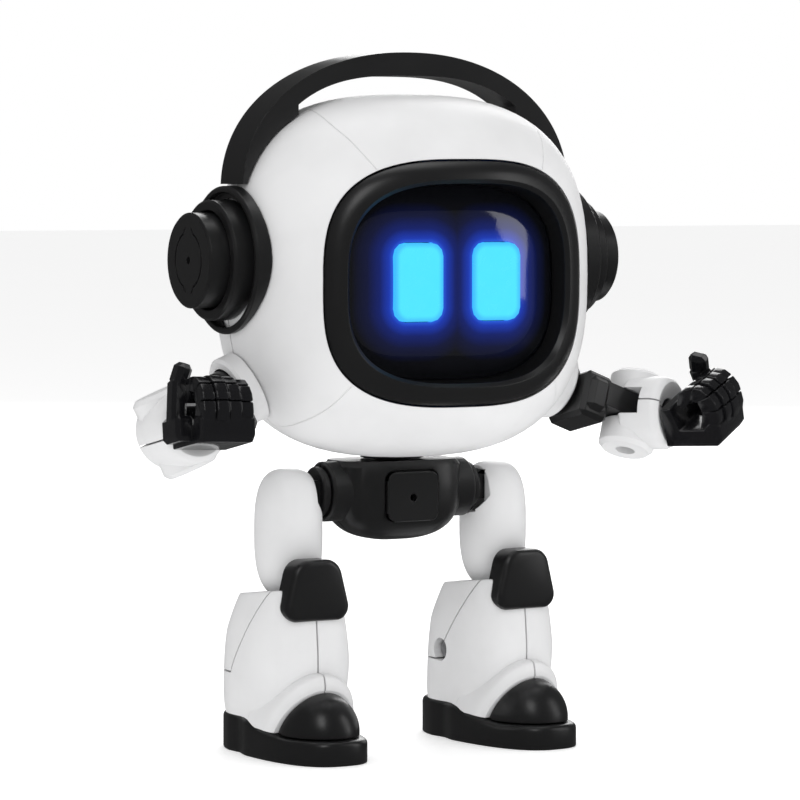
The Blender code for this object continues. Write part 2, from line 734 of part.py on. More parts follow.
def boot_solid(inset=0.0):
    """Flared leg of the boot without the foot."""
    rings = []
    for height, middle, half_x, half_y, power in BOOT_LEVELS:
        outline = superellipse(half_x - inset, half_y - inset, power, 24)
        slant = BOOT_SLANT * max(height - 22.0, 0.0) / (BOOT_TOP - 22.0)
        ring = []
        for x, y in outline:
            level = height - slant * (y + half_y)
            if height < 6.0:
                level = sole_top(middle + y) + GAP
            ring.append((x, middle - PELVIS_Y + y, level))
        rings.append(ring)
    return loft(rings, seam=6)


def smooth_step(value):
    """Ease from 0 to 1 as a value goes from 0 to 1."""
    value = min(max(value, 0.0), 1.0)
    return value * value * (3.0 - 2.0 * value)


def sole_top(y):
    """Height of the sole's upper face, which steps up to the heel."""
    return SOLE_THICK + HEEL_RISE[0] * smooth_step((y + 9.0) / 9.0) + HEEL_RISE[1] * smooth_step(y / 5.5)


def instep_solid():
    """Rounded instep from the toe cap back into the leg."""
    rings = []
    for behind, half, top in FOOT_SECTIONS:
        rings.append([foot_point(behind, half, top, pi * step / 12) for step in range(13)])
    return loft(rings)


def foot_point(behind, half, top, angle):
    """Point of an arch that leans back like the toe cap's rim."""
    low = SOLE_THICK + GAP
    height = low + (top - low) * sin(angle)
    y = toe_rim(height) + behind
    return (half * cos(angle), y - PELVIS_Y, max(height, sole_top(y) + GAP))


def toe_rim(height):
    """Y of the toe cap's rear edge at a height."""
    return TOE_TOP[0] + TOE_LEAN * (TOE_TOP[1] - height)


def calf_region(grow):
    """Wedge behind the slanted groove and above the heel."""
    top = 40.0
    slope = 0.63
    front_top = -2.5 - PELVIS_Y - (top - BOOT_TOP) * slope - grow
    low = 14.9 - grow
    front_low = -2.5 - PELVIS_Y + (BOOT_TOP - low) * slope - grow
    outline = [(front_top, top), (front_low, low), (30.0, low), (30.0, top)]
    return prism(outline, -15.0, 15.0, "X")


def make_boot(turn, side, name):
    """Boot halves, calf cover, knee pad, toe cap, sole and clamping screw."""
    for label, low, high in (("inner", -20.0, -GAP / 2.0), ("outer", GAP / 2.0, 20.0)):
        half = part("boot_" + label + "_" + name, boot_solid(), "white_shell", turn, side)
        add(half, cutter(instep_solid(), turn, side))
        keep(half, cutter(box((low, -30.0, 0.0), (high, 30.0, 40.0)), turn, side))
        cut(half, cutter(calf_region(GAP / 2.0), turn, side))
        cut_boot_interior(half, turn, side)
    cover = part("boot_calf_" + name, boot_solid(), "white_shell", turn, side)
    keep(cover, cutter(calf_region(-GAP / 2.0), turn, side))
    cut_boot_interior(cover, turn, side)
    make_knee_pad(turn, side, name)
    make_toe_cap(turn, side, name)
    make_sole(turn, side, name)
    screw = [(0.0, -8.1), (1.7, -8.1), (1.7, -6.9), (0.9, -6.9), (0.9, -0.6), (0.0, -0.6)]
    part("boot_screw_" + name, revolve(screw, "X", 10), "screw_steel", turn, side, BOOT_SCREW)


def cut_boot_interior(obj, turn, side):
    """Hollow for the knee, the peg's bearing and the screw pocket."""
    well = revolve([(0.0, 25.5), (6.4, 25.5), (6.9, 27.5), (6.9, 33.0), (0.0, 33.0)], "Z", 16)
    peg = [(0.0, 18.0), (4.6, 18.0), (4.6, 20.6), (2.7, 20.6), (2.7, 26.0), (0.0, 26.0)]
    tools = [well, revolve(peg, "Z", 12)]
    pocket = [(0.0, -14.0), (2.1, -14.0), (2.1, -6.4), (1.2, -6.4), (1.2, 1.3), (0.0, 1.3)]
    tools.append(moved(revolve(pocket, "X", 10), BOOT_SCREW))
    cut(obj, *[cutter(tool, turn, side) for tool in tools])


def make_knee_pad(turn, side, name):
    """Rounded trapezoid pad with a bevelled front on the boot's top."""
    outline = pad_outline()
    rings = []
    for inset, y in ((0.0, -3.45), (0.0, -6.7), (0.3, -7.3), (0.9, -7.7)):
        scale = 1.0 - inset / 7.0
        rings.append([(x * scale, y - PELVIS_Y, 30.0 + (z - 30.0) * scale) for x, z in outline])
    pad = part("knee_pad_" + name, loft(rings), "black_satin", turn, side)
    cut(pad, cutter(boot_solid(-GAP), turn, side))


def pad_outline():
    """Trapezoid outline with round corners, as (x, z) points."""
    corners = ((7.2, 24.6, 2.4), (4.4, 35.5, 3.2), (-4.4, 35.5, 3.2), (-7.2, 24.6, 2.4))
    points = []
    for index, (x, z, radius) in enumerate(corners):
        before = Vector(corners[index - 1][:2])
        after = Vector(corners[(index + 1) % 4][:2])
        here = Vector((x, z))
        points += round_corner(before, here, after, radius)
    return points


def round_corner(before, here, after, radius, steps=4):
    """Arc that replaces a corner of an outline."""
    into = (here - before).normalized()
    out = (after - here).normalized()
    half = into.angle(out) / 2.0
    reach = radius * sin(half) / cos(half)
    start = here - into * reach
    end = here + out * reach
    centre = here + (out - into).normalized() * (radius / cos(half))
    first = atan2(start.y - centre.y, start.x - centre.x)
    last = atan2(end.y - centre.y, end.x - centre.x)
    sweep = (last - first + pi) % (2.0 * pi) - pi
    arc = []
    for step in range(steps + 1):
        angle = first + sweep * step / steps
        arc.append((centre.x + radius * cos(angle), centre.y + radius * sin(angle)))
    return arc


def make_toe_cap(turn, side, name):
    """Black dome in front of the instep."""
    rings = []
    low = SOLE_THICK + GAP
    for step in range(6):
        forward = sin(pi / 2.0 * step / 6)
        shrink = cos(pi / 2.0 * step / 6) ** 0.85
        ring = []
        for turn_step in range(13):
            x = 7.2 * shrink * cos(pi * turn_step / 12)
            height = low + (TOE_TOP[1] - low) * shrink * sin(pi * turn_step / 12)
            y = toe_rim(height) + (TOE_NOSE - toe_rim(height)) * forward
            ring.append((x, y - PELVIS_Y, max(height, sole_top(y) + GAP)))
        rings.append(ring)
    rings.append([(0.0, TOE_NOSE - PELVIS_Y, low + 0.01)])
    part("toe_cap_" + name, loft(rings), "black_satin", turn, side)


def toe_base(y):
    """Height of the toe cap's lower face at a place measured from the boot's axis."""
    return sole_top(y + PELVIS_Y) + GAP


def sole_outline(inset):
    """Sole seen from above: wide front, waist and round heel."""
    points = []
    count = 30
    for step in range(count):
        angle = 2.0 * pi * step / count
        y = 1.9 - 18.8 * signed_power(cos(angle), 0.9)
        width = 8.3 + 1.0 * cos(angle) - 0.9 * pinch(y)
        x = width * signed_power(sin(angle), 0.72)
        shrink = 1.0 - inset / 9.0
        points.append((x * shrink, (y - 1.9) * (1.0 - inset / 18.0) + 1.9 - PELVIS_Y))
    return points


def pinch(y):
    """How far the sole's waist is pulled in at a place along the foot."""
    return max(1.0 - abs((y - 9.0) / 4.0), 0.0)


def make_sole(turn, side, name):
    """Thick sole plate with a rounded upper edge."""
    rings = []
    for inset, z in ((0.35, 0.0), (0.0, 0.35)):
        rings.append([(x, y, z) for x, y in sole_outline(inset)])
    for inset, drop in ((0.0, 0.8), (0.25, 0.2), (0.7, 0.0)):
        rings.append([(x, y, toe_base(y) - GAP - drop) for x, y in sole_outline(inset)])
    part("sole_" + name, loft(rings, seam=0), "black_satin", turn, side)


# ----------------------------------------------------------------------- arms


def make_arm(head, side):
    """Upper arm, forearm halves with their screw, and hand."""
    name = SIDE_NAME[side]
    mount = joint("shoulder_mount_" + name, head, SHOULDER, (0.0, SHOULDER_TILT, 0.0), side)
    shoulder = joint("shoulder_" + name, mount, (0.0, 0.0, 0.0), (-ARM_TWIST[side], 0.0, 0.0), side)
    make_upper_arm(shoulder, side, name)
    elbow = joint("elbow_" + name, shoulder, ELBOW_AT, (0.0, 0.0, -ELBOW_BEND[side]), side)
    make_forearm(elbow, side, name)
    wrist = joint("wrist_" + name, elbow, (DRUM_LENGTH, 0.0, 0.0), (WRIST_TURN[side], 0.0, 0.0), side)
    make_hand(wrist, side, name)


def make_upper_arm(shoulder, side, name):
    """Shoulder drum, block with its pad, and the elbow tongue."""
    turned = [(0.0, -12.0), (5.8, -12.0), (5.8, -10.6), (4.3, -10.6), (4.3, -1.0), (ARM_DRUM_R, -1.0)]
    turned += [(ARM_DRUM_R, 1.6), (0.0, 1.6)]
    arm = part("upper_arm_" + name, revolve(turned, "X", 14), "black_satin", shoulder, side)
    block = rounded_box((0.6, -8.4, -6.8), (6.6, 2.6, 2.0), 0.8, 1)
    pad = rounded_box((1.4, -9.4, -5.4), (5.6, -7.4, 1.0), 0.9, 1)
    reach, across, up = ELBOW_AT
    tongue = box((3.0, across - 3.9, up - TONGUE_HALF), (reach, across + 3.9, up + TONGUE_HALF))
    eye = [(0.0, -TONGUE_HALF), (4.1, -TONGUE_HALF), (4.1, TONGUE_HALF), (0.0, TONGUE_HALF)]
    eye = moved(revolve(eye, "Z", 14), ELBOW_AT)
    add(arm, *[cutter(tool, shoulder, side) for tool in (block, pad, tongue, eye)])
    hole = revolve([(0.0, -4.0), (1.35, -4.0), (1.35, 4.0), (0.0, 4.0)], "Z", 10)
    cut(arm, cutter(moved(hole, ELBOW_AT), shoulder, side))


def forearm_drum():
    """Round forearm along +X with a dished front and a bearing for the wrist."""
    profile = [(0.0, 0.3), (6.2, 0.3), (DRUM_R, 0.9), (DRUM_R, 6.8), (6.3, 7.9), (5.7, DRUM_LENGTH)]
    profile += [(5.0, 8.3), (4.0, 7.7), (2.7, 7.5), (2.7, 6.5), (3.7, 6.5), (3.7, 5.2), (0.0, 5.2)]
    return revolve(profile, "X", 20)


def make_forearm(elbow, side, name):
    """Two forearm halves clamped on the elbow tongue by one screw."""
    for label, sign in (("upper", 1), ("lower", -1)):
        half = part("forearm_" + label + "_" + name, forearm_drum(), "white_shell", elbow, side)
        lug = [(0.0, 0.5), (LUG_R, 0.5), (LUG_R, LUG_END - 0.8), (LUG_R - 0.8, LUG_END), (0.0, LUG_END)]
        lug = revolve(lug, "Z", 16)
        if sign < 0:
            lug = moved(lug, rotation=(180.0, 0.0, 0.0))
        web = revolve([(0.0, -3.0), (5.9, -3.0), (6.5, -2.4), (6.5, 2.0), (0.0, 2.0)], "X", 20)
        side_web = cutter(web, elbow, side)
        keep(side_web, cutter(box((-9.0, 3.2, -9.0), (9.0, 9.0, 9.0)), elbow, side))
        add(half, cutter(lug, elbow, side), side_web)
        slot_half = TONGUE_HALF + GAP
        tools = [box((-9.0, -9.0, -slot_half), (4.6, 4.5, slot_half))]
        tools.append(revolve([(0.0, -4.9), (1.15, -4.9), (1.15, 6.6), (0.0, 6.6)], "Z", 10))
        tools.append(revolve([(0.0, -9.0), (1.8, -9.0), (1.8, -4.8), (0.0, -4.8)], "Z", 14))
        low = GAP / 2.0 if sign > 0 else -20.0
        high = 20.0 if sign > 0 else -GAP / 2.0
        keep(half, cutter(box((-20.0, -20.0, low), (20.0, 20.0, high)), elbow, side))
        cut(half, *[cutter(tool, elbow, side) for tool in tools])
    screw = [(0.0, -6.2), (1.5, -6.2), (1.5, -5.1), (0.85, -5.1), (0.85, 6.3), (0.0, 6.3)]
    part("elbow_screw_" + name, revolve(screw, "Z", 10), "screw_steel", elbow, side)


FINGERS = (
    # middle along the knuckles, half width, forward shift, upward stretch
    (-3.75, 1.2, -0.7, 0.93),
    (-1.3, 1.2, -0.2, 0.98),
    (1.2, 1.2, 0.1, 1.0),
    (3.7, 1.2, -0.2, 0.97),
)
HAND_SEAT = (-0.9, 0.0, 1.0)
FINGER_PROFILE = (
    # forward, up: outside from the knuckle over the curl, then back along the inside
    (9.6, -2.0),
    (13.2, -2.0),
    (13.5, 1.6),
    (12.3, 4.6),
    (9.4, 6.2),
    (6.3, 5.2),
    (5.4, 2.6),
    (6.9, 1.6),
    (8.0, 3.6),
    (9.8, 3.4),
    (10.5, 1.2),
)
PALM_PROFILE = (
    (1.2, -5.6),
    (11.6, -5.6),
    (12.7, -4.4),
    (12.9, -1.5),
    (10.4, -1.3),
    (9.2, -2.4),
    (4.4, -2.4),
    (3.2, 1.8),
    (1.2, 1.8),
)


def make_hand(wrist, side, name):
    """Open fist with the palm up: palm, four curled fingers and a thumb outside."""
    peg = [(0.0, -2.9), (3.4, -2.9), (3.4, -2.2), (2.4, -2.2), (2.4, 1.2), (0.0, 1.2)]
    hand = part("hand_" + name, revolve(peg, "X", 14), "black_gloss", wrist, side)
    palm = prism([(up, forward) for forward, up in PALM_PROFILE], -5.1, 5.1, "Y")
    pieces = [palm]
    for middle, half, shift, stretch in FINGERS:
        profile = [(up * stretch, forward + shift) for forward, up in FINGER_PROFILE]
        pieces.append(prism(profile, middle - half, middle + half, "Y"))
    pieces.append(box((11.2, -4.6, -1.8), (12.2, 4.6, 0.6)))
    pieces.append(rounded_box((2.6, 4.2, -5.0), (8.8, 7.9, -0.6), 0.7, 1))
    thumb = rounded_box((-1.6, -1.4, -2.0), (1.7, 1.5, 6.2), 0.7, 1)
    pieces.append(moved(thumb, (5.6, 6.2, 0.0), (8.0, -6.0, 0.0)))
    tip = rounded_box((-1.5, -1.3, -0.6), (2.0, 1.4, 3.6), 0.8, 1)
    pieces.append(moved(tip, (5.0, 5.4, 5.4), (16.0, 14.0, 0.0)))
    add(hand, *[cutter(moved(piece, HAND_SEAT), wrist, side) for piece in pieces])


# ------------------------------------------------------------------- assembly


def make_robot():
    """Build the whole robot from the pelvis outwards."""
    clear_scene()
    pelvis = joint("pelvis", None, (FRAME_SHIFT[0], FRAME_SHIFT[1], 0.0))
    make_pelvis(pelvis)
    neck = joint("neck_turn", pelvis, (0.0, PELVIS_Y, 0.0))
    head = joint("head", neck, (0.0, -PELVIS_Y, 0.0))
    make_head_shells(head)
    make_bezel(head)
    make_lens(head)
    make_head_electronics(head)
    make_headband(head)
    make_ears(head)
    for side in (LEFT, RIGHT):
        make_leg(pelvis, side)
        make_arm(head, side)


make_robot()
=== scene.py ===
"""Finished look of the posable toy robot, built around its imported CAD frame.

Every size is in millimetres and is turned into metres when a mesh is made.
The robot faces -Y, its left side is +X, and the soles stand on Z = 0.
Paired pieces are modelled for the left side and mirrored for the right one.
"""

import json
from math import atan2, cos, pi, radians, sin

import bmesh
import bpy
from mathutils import Euler, Matrix, Vector

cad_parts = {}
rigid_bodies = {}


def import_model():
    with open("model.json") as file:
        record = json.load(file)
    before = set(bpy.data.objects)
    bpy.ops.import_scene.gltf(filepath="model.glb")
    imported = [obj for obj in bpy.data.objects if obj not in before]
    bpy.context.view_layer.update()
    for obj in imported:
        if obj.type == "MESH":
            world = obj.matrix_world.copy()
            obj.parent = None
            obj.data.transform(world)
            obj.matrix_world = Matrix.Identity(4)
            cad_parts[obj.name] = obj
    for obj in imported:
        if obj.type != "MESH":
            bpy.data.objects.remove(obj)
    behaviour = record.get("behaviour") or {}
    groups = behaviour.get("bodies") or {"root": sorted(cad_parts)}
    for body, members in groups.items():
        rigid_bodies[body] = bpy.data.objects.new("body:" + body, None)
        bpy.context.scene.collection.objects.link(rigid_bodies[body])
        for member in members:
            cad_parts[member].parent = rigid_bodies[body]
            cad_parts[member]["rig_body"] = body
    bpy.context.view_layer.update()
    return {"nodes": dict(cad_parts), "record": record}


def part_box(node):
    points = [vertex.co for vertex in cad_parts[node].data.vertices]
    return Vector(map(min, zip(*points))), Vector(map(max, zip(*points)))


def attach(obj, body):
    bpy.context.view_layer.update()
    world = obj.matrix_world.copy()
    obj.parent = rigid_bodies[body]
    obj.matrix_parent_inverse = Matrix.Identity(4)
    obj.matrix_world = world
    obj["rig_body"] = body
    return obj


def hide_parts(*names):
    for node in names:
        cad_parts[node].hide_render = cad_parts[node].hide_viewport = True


for stray in list(bpy.data.objects):
    bpy.data.objects.remove(stray)
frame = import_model()

MM = 0.001
GAP = 0.3
LEFT = 1
RIGHT = -1
SIDE_NAME = {LEFT: "left", RIGHT: "right"}
ORIGIN = (0.0, 0.0, 0.0)

# Head shell
HEAD_HALF_X = 34.6
HEAD_FRONT = 24.5
HEAD_REAR = 27.6
HEAD_HALF_Z = 32.4
HEAD_Y = -1.7
HEAD_Z = 85.3
HEAD_PLAN_POWER = 2.2
HEAD_SIDE_POWER = 2.7
HEAD_WALL = 2.0
HEAD_SPLIT_Y = 1.1

# Face
FACE_Z = 84.4
FACE_HALF_X = 26.2
FACE_HALF_Z = 21.7
FACE_POWER = 3.0
FACE_RIM = 4.4
RIDGE_RISE = 2.4
LENS_Y = -20.4
LENS_SAG = 4.0
LENS_THICK = 1.4
EYE_X = 7.9
EYE_Z = 84.6
EYE_HALF_X = 4.8
EYE_HALF_Z = 6.85
EYE_RADIUS = 2.3

# Back of the head
DOOR_Z = 86.0
DOOR_HALF_X = 11.0
DOOR_HALF_Z = 8.5
SWITCH_Z = 70.0
SPEAKER_Z = 103.5

# Faint panel lines from the face to the headband and to the shoulder
PANEL_LINES = (
    ((16.5, -21.6, 103.6), (19.41, -16.96, 108.91), (20.82, -11.62, 112.24), (19.4, -1.0, 115.0)),
    ((20.9, -19.4, 66.7), (23.2, -15.11, 62.82), (25.14, -8.85, 60.12), (24.9, 0.6, 58.9)),
)

# Headband
BAND_HALF_X = 33.6
BAND_RISE = 24.8
BAND_Z = 100.4
BAND_POWER = 2.15
BAND_FRONT_Y = -3.1
BAND_REAR_Y = 5.3
SLOT_HALF_X = 22.4

# Ears
EAR_Y = 1.1
EAR_Z = 88.4
EAR_FACE_X = 42.2
CUP_R = 13.05
RING_R = 10.6
CAP_R = 8.4

# Pelvis and hips
PELVIS_Y = 3.0
PELVIS_HALF_X = 12.3
PELVIS_HALF_Y = 7.4
PELVIS_TOP = 52.2
PELVIS_WAIST = 46.5
PELVIS_BOTTOM = 37.6
PELVIS_WALL = 1.7
NECK_R = 6.0
HIP_X = 21.3
HIP_Z = 46.7
STUB_R = 5.4
DISC_R = 4.5

# Thighs and knees
THIGH_R = 6.0
THIGH_TOP = 51.1
THIGH_BOTTOM = 27.9
KNEE_Z = 33.5

# Boots
BOOT_TOP = 30.3
SOLE_THICK = 4.4
HEEL_RISE = (0.9, 1.4)
TOE_TOP = (-9.4, 11.8)
TOE_LEAN = 0.6
TOE_NOSE = -15.4
BOOT_YAW = {LEFT: 6.5, RIGHT: -2.5}
BOOT_LEVELS = (
    # height, middle y, half x, half y, outline power
    (SOLE_THICK + GAP, 5.9, 8.3, 11.0, 2.6),
    (9.0, 5.0, 8.9, 11.3, 2.8),
    (12.0, 4.2, 9.4, 11.1, 3.0),
    (17.0, 3.7, 9.7, 10.9, 3.0),
    (22.0, 3.6, 9.3, 10.5, 3.0),
    (26.0, 3.3, 8.6, 9.8, 3.0),
    (BOOT_TOP - 0.5, 3.0, 7.6, 8.9, 3.0),
    (BOOT_TOP, 3.0, 7.1, 8.4, 3.0),
)
FOOT_SECTIONS = (
    # distance behind the toe cap, half width, height of the top
    (GAP, 7.9, 12.6),
    (1.3, 8.6, 14.1),
    (3.2, 9.0, 15.4),
    (9.0, 8.8, 15.4),
)
BOOT_SLANT = 0.11
BOOT_SCREW = (0.0, 3.3, 16.7)

PAD_LEVELS = (
    # inset, y: straight sides, then a rounded front edge
    (0.0, -3.45),
    (0.0, -6.5),
    (0.08, -6.9),
    (0.25, -7.2),
    (0.5, -7.45),
    (0.85, -7.62),
    (1.3, -7.7),
)

# Arms
SHOULDER = (34.2, 1.1, 64.7)
SHOULDER_TILT = 22.0
ARM_TWIST = {LEFT: 14.0, RIGHT: 10.0}
ELBOW_AT = (14.2, -4.6, -1.2)
COLLAR_R = 6.6
ARM_DRUM_R = 4.6
TONGUE_HALF = 2.25
LUG_R = 5.1
LUG_END = 7.4
DRUM_R = 6.75
DRUM_LENGTH = 8.4
ELBOW_BEND = {LEFT: 64.0, RIGHT: 94.0}
WRIST_TURN = {LEFT: 46.0, RIGHT: 24.0}

# Hands
FINGERS = (
    # middle along the knuckles, half width, forward shift, upward stretch
    (-3.75, 1.2, -0.7, 0.93),
    (-1.3, 1.2, -0.2, 0.98),
    (1.2, 1.2, 0.1, 1.0),
    (3.7, 1.2, -0.2, 0.97),
)
HAND_SEAT = (-0.9, 0.0, 1.0)
FINGER_SEGMENTS = (
    # forward, up: knuckle, two middle pieces and the curled tip
    ((9.4, -2.3), (13.1, -2.2), (13.6, -0.6), (13.5, 1.3), (10.4, 1.2)),
    ((10.3, 0.9), (13.5, 1.5), (13.3, 2.9), (12.4, 4.5), (9.7, 3.4)),
    ((9.9, 3.1), (12.2, 4.7), (11.0, 5.8), (9.3, 6.2), (7.9, 3.6)),
    ((8.3, 3.4), (9.1, 6.2), (7.4, 5.9), (6.2, 5.1), (5.4, 2.6), (6.9, 1.7)),
)
PALM_PROFILE = (
    (1.2, -5.6),
    (11.6, -5.6),
    (12.7, -4.4),
    (12.9, -1.5),
    (10.4, -1.3),
    (9.2, -2.4),
    (4.4, -2.4),
    (3.2, 1.8),
    (1.2, 1.8),
)


def middle(node, axis):
    """Middle of a CAD node's box along an axis, in millimetres."""
    low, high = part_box(node)
    return (low[axis] + high[axis]) / 2.0 / MM


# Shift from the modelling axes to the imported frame
FRAME_SHIFT = (middle("screen_lens", 0), middle("ear_cap_left", 1) - EAR_Y)

# How much finer than the CAD facets the outlines are
FINE = 4

# Camera, and how bright the sky is as a light, in reflections and seen directly
LOOK_AZIMUTH = radians(29.988)
LOOK_PITCH = radians(3.077)
LOOK_FROM = (-384.85, -666.85, 104.278)
LENS_MM = 192.8
FLOOR_HALF = 6.0
LIT_POINT = (0.0, 0.0, 0.07)
SOFTBOXES = (
    # name, place, size in metres, and power in watts
    ("key", (-0.55, -0.75, 0.75), (0.4, 0.6), 2.5),
    ("fill", (0.75, -0.55, 0.35), (0.3, 0.7), 1.3),
    ("top", (0.05, 0.1, 0.95), (0.7, 0.5), 1.9),
    ("rim", (0.55, 0.7, 0.5), (0.4, 0.7), 3.0),
)
SKY_LIGHT = 0.66
SKY_SHINE = 0.1
SKY_SEEN = 1.0

# Pieces waiting to be finished: worked object, CAD node, material slot
SKINS = []

# ---- mesh makers


def signed_power(value, power):
    """Raise a value's size to a power and keep its sign."""
    return abs(value) ** power if value >= 0.0 else -(abs(value) ** power)


def superellipse(half_u, half_v, power, count):
    """Points of a rounded outline, counter-clockwise from +U."""
    points = []
    count *= FINE
    for step in range(count):
        angle = 2.0 * pi * step / count
        u = half_u * signed_power(cos(angle), 2.0 / power)
        v = half_v * signed_power(sin(angle), 2.0 / power)
        points.append((u, v))
    return points


def rounded_rectangle(half_u, half_v, radius, steps=12):
    """Points of a rectangle with round corners, counter-clockwise."""
    points = []
    for quarter, (su, sv) in enumerate(((1, 1), (-1, 1), (-1, -1), (1, -1))):
        for step in range(steps + 1):
            angle = pi / 2.0 * (quarter + step / steps)
            u = su * (half_u - radius) + radius * cos(angle)
            v = sv * (half_v - radius) + radius * sin(angle)
            points.append((u, v))
    return points


def loft(rings, closed=False, seam=None):
    """Join rings of points into one closed skin, capped or joined end to end.

    With a seam, the caps are strips across the outline, mirrored about that point.
    """
    bm = bmesh.new()
    rows = [[bm.verts.new(Vector(point) * MM) for point in ring] for ring in rings]
    pairs = list(zip(rows, rows[1:]))
    if closed:
        pairs.append((rows[-1], rows[0]))
    for low, high in pairs:
        join_rows(bm, low, high)
    if not closed:
        for row in (rows[0], rows[-1]):
            if len(row) > 2 and seam is None:
                close_ring(bm, row)
            elif len(row) > 2:
                strip_cap(bm, row, seam)
    bmesh.ops.recalc_face_normals(bm, faces=bm.faces)
    return bm


def close_ring(bm, row):
    """Cap a ring, with triangles where its points don't lie in one plane."""
    cap = bm.faces.new(row)
    cap.normal_update()
    middle_point = cap.calc_center_median()
    if max(abs((vert.co - middle_point).dot(cap.normal)) for vert in row) > 0.001 * MM:
        bmesh.ops.triangulate(bm, faces=[cap])


def strip_cap(bm, row, seam):
    """Close a ring with strips between points mirrored about the seam."""
    count = len(row)
    for step in range(count // 2):
        corners = []
        for offset in (step, step + 1, -step - 1, -step):
            corner = row[(seam + offset) % count]
            if corner not in corners:
                corners.append(corner)
        bm.faces.new(corners)


def join_rows(bm, low, high):
    """Faces between two rings, either of which may be a single point."""
    count = max(len(low), len(high))
    for index in range(count):
        after = (index + 1) % count
        if len(low) == 1:
            bm.faces.new((low[0], high[after], high[index]))
        elif len(high) == 1:
            bm.faces.new((low[index], low[after], high[0]))
        else:
            bm.faces.new((low[index], low[after], high[after], high[index]))


def revolve(profile, axis="Z", segments=32, closed=False):
    """Turn a profile of (radius, height) about an axis through the origin."""
    segments *= FINE
    rings = []
    for radius, height in profile:
        if radius == 0.0:
            rings.append([oriented(0.0, 0.0, height, axis)])
            continue
        ring = []
        for step in range(segments):
            angle = 2.0 * pi * step / segments
            ring.append(oriented(radius * cos(angle), radius * sin(angle), height, axis))
        rings.append(ring)
    return loft(rings, closed)


def rod(radius, low, high, axis="Z", segments=32):
    """A plain round bar between two heights along an axis."""
    return revolve([(0.0, low), (radius, low), (radius, high), (0.0, high)], axis, segments)


def oriented(u, v, height, axis):
    """Place a point of a profile whose height runs along the given axis."""
    if axis == "X":
        return (height, u, v)
    if axis == "Y":
        return (v, height, u)
    return (u, v, height)


def prism(outline, low, high, axis="Z"):
    """Extrude an outline between two heights along an axis."""
    rings = [[oriented(u, v, height, axis) for u, v in outline] for height in (low, high)]
    return loft(rings)


def box(low, high):
    """A plain block between two corners."""
    corners = [(low[0], low[1]), (high[0], low[1]), (high[0], high[1]), (low[0], high[1])]
    return prism(corners, low[2], high[2])


def rounded_box(low, high, radius, segments=4):
    """A block with every edge rounded."""
    bm = box(low, high)
    bmesh.ops.bevel(
        bm, geom=bm.edges[:], offset=radius * MM, segments=segments, affect="EDGES", profile=0.5
    )
    return bm


def moved(bm, offset=ORIGIN, rotation=ORIGIN):
    """Rotate a mesh by degrees about the axes, then move it by millimetres."""
    turn = Euler([radians(angle) for angle in rotation]).to_matrix().to_4x4()
    bmesh.ops.transform(bm, matrix=Matrix.Translation(Vector(offset) * MM) @ turn, verts=bm.verts)
    return bm


# ---- object makers


def link(name, data, parent, location, rotation, side):
    """Put an object in the scene under its parent, mirrored for the right side."""
    obj = bpy.data.objects.new(name, data)
    bpy.context.scene.collection.objects.link(obj)
    obj.parent = parent
    obj.location = Vector((side * location[0], location[1], location[2])) * MM
    turn = (rotation[0], side * rotation[1], side * rotation[2])
    obj.rotation_euler = [radians(angle) for angle in turn]
    obj["side"] = side
    return obj


def joint(name, parent, location=ORIGIN, rotation=ORIGIN, side=LEFT):
    """An empty on a joint's axis."""
    return link(name, None, parent, location, rotation, side)


def mesh_from(bm, name, side):
    """Turn a bmesh into mesh data, mirrored in X for the right side."""
    if side == RIGHT:
        bmesh.ops.scale(bm, vec=(-1.0, 1.0, 1.0), verts=bm.verts)
        bmesh.ops.reverse_faces(bm, faces=bm.faces)
    data = bpy.data.meshes.new(name)
    bm.to_mesh(data)
    bm.free()
    return data


def part(name, bm, slot, parent, side=LEFT, location=ORIGIN, rotation=ORIGIN):
    """A visible piece, finished once everything is in place. A paired piece's name ends in _."""
    if name.endswith("_"):
        name += SIDE_NAME[side]
    data = mesh_from(bm, name + "_raw", side)
    obj = link(name + "_raw", data, parent, location, rotation, side)
    SKINS.append((obj, name, slot))
    return obj


def cutter(bm, parent, side=LEFT, location=ORIGIN, rotation=ORIGIN):
    """A hidden tool body for a Boolean."""
    obj = link("cutter", mesh_from(bm, "cutter", side), parent, location, rotation, side)
    obj.hide_render = True
    return obj


def combine(obj, operation, tools, side, location=ORIGIN, rotation=ORIGIN):
    """Add an exact Boolean with each tool, which may be a shape or a made cutter."""
    for tool in tools:
        if not isinstance(tool, bpy.types.Object):
            tool = cutter(tool, obj.parent, side or obj["side"], location, rotation)
        modifier = obj.modifiers.new(operation.lower(), "BOOLEAN")
        modifier.operation = operation
        modifier.object = tool
        modifier.solver = "EXACT"


def cut(obj, *tools, side=None, **place):
    """Remove tool bodies from an object."""
    combine(obj, "DIFFERENCE", tools, side, **place)


def add(obj, *tools, side=None):
    """Fuse tool bodies into an object."""
    combine(obj, "UNION", tools, side)


def keep(obj, tool):
    """Keep only what an object shares with a tool body."""
    combine(obj, "INTERSECT", (tool,), None)


# ---- head


def head_solid(offset=0.0, around=32, levels=42):
    """The head's egg, grown or shrunk by an offset."""
    rings = [[(0.0, HEAD_Y, HEAD_Z - HEAD_HALF_Z - offset)]]
    for level in range(1, levels):
        angle = pi * (level / levels - 0.5)
        height = HEAD_Z + (HEAD_HALF_Z + offset) * signed_power(sin(angle), 2.0 / HEAD_SIDE_POWER)
        spread = cos(angle) ** (2.0 / HEAD_SIDE_POWER)
        ring = []
        for u, v in superellipse(spread, spread, HEAD_PLAN_POWER, around):
            depth = (HEAD_REAR if v > 0.0 else HEAD_FRONT) + offset
            ring.append((u * (HEAD_HALF_X + offset), HEAD_Y + v * depth, height))
        rings.append(ring)
    rings.append([(0.0, HEAD_Y, HEAD_Z + HEAD_HALF_Z + offset)])
    return loft(rings)


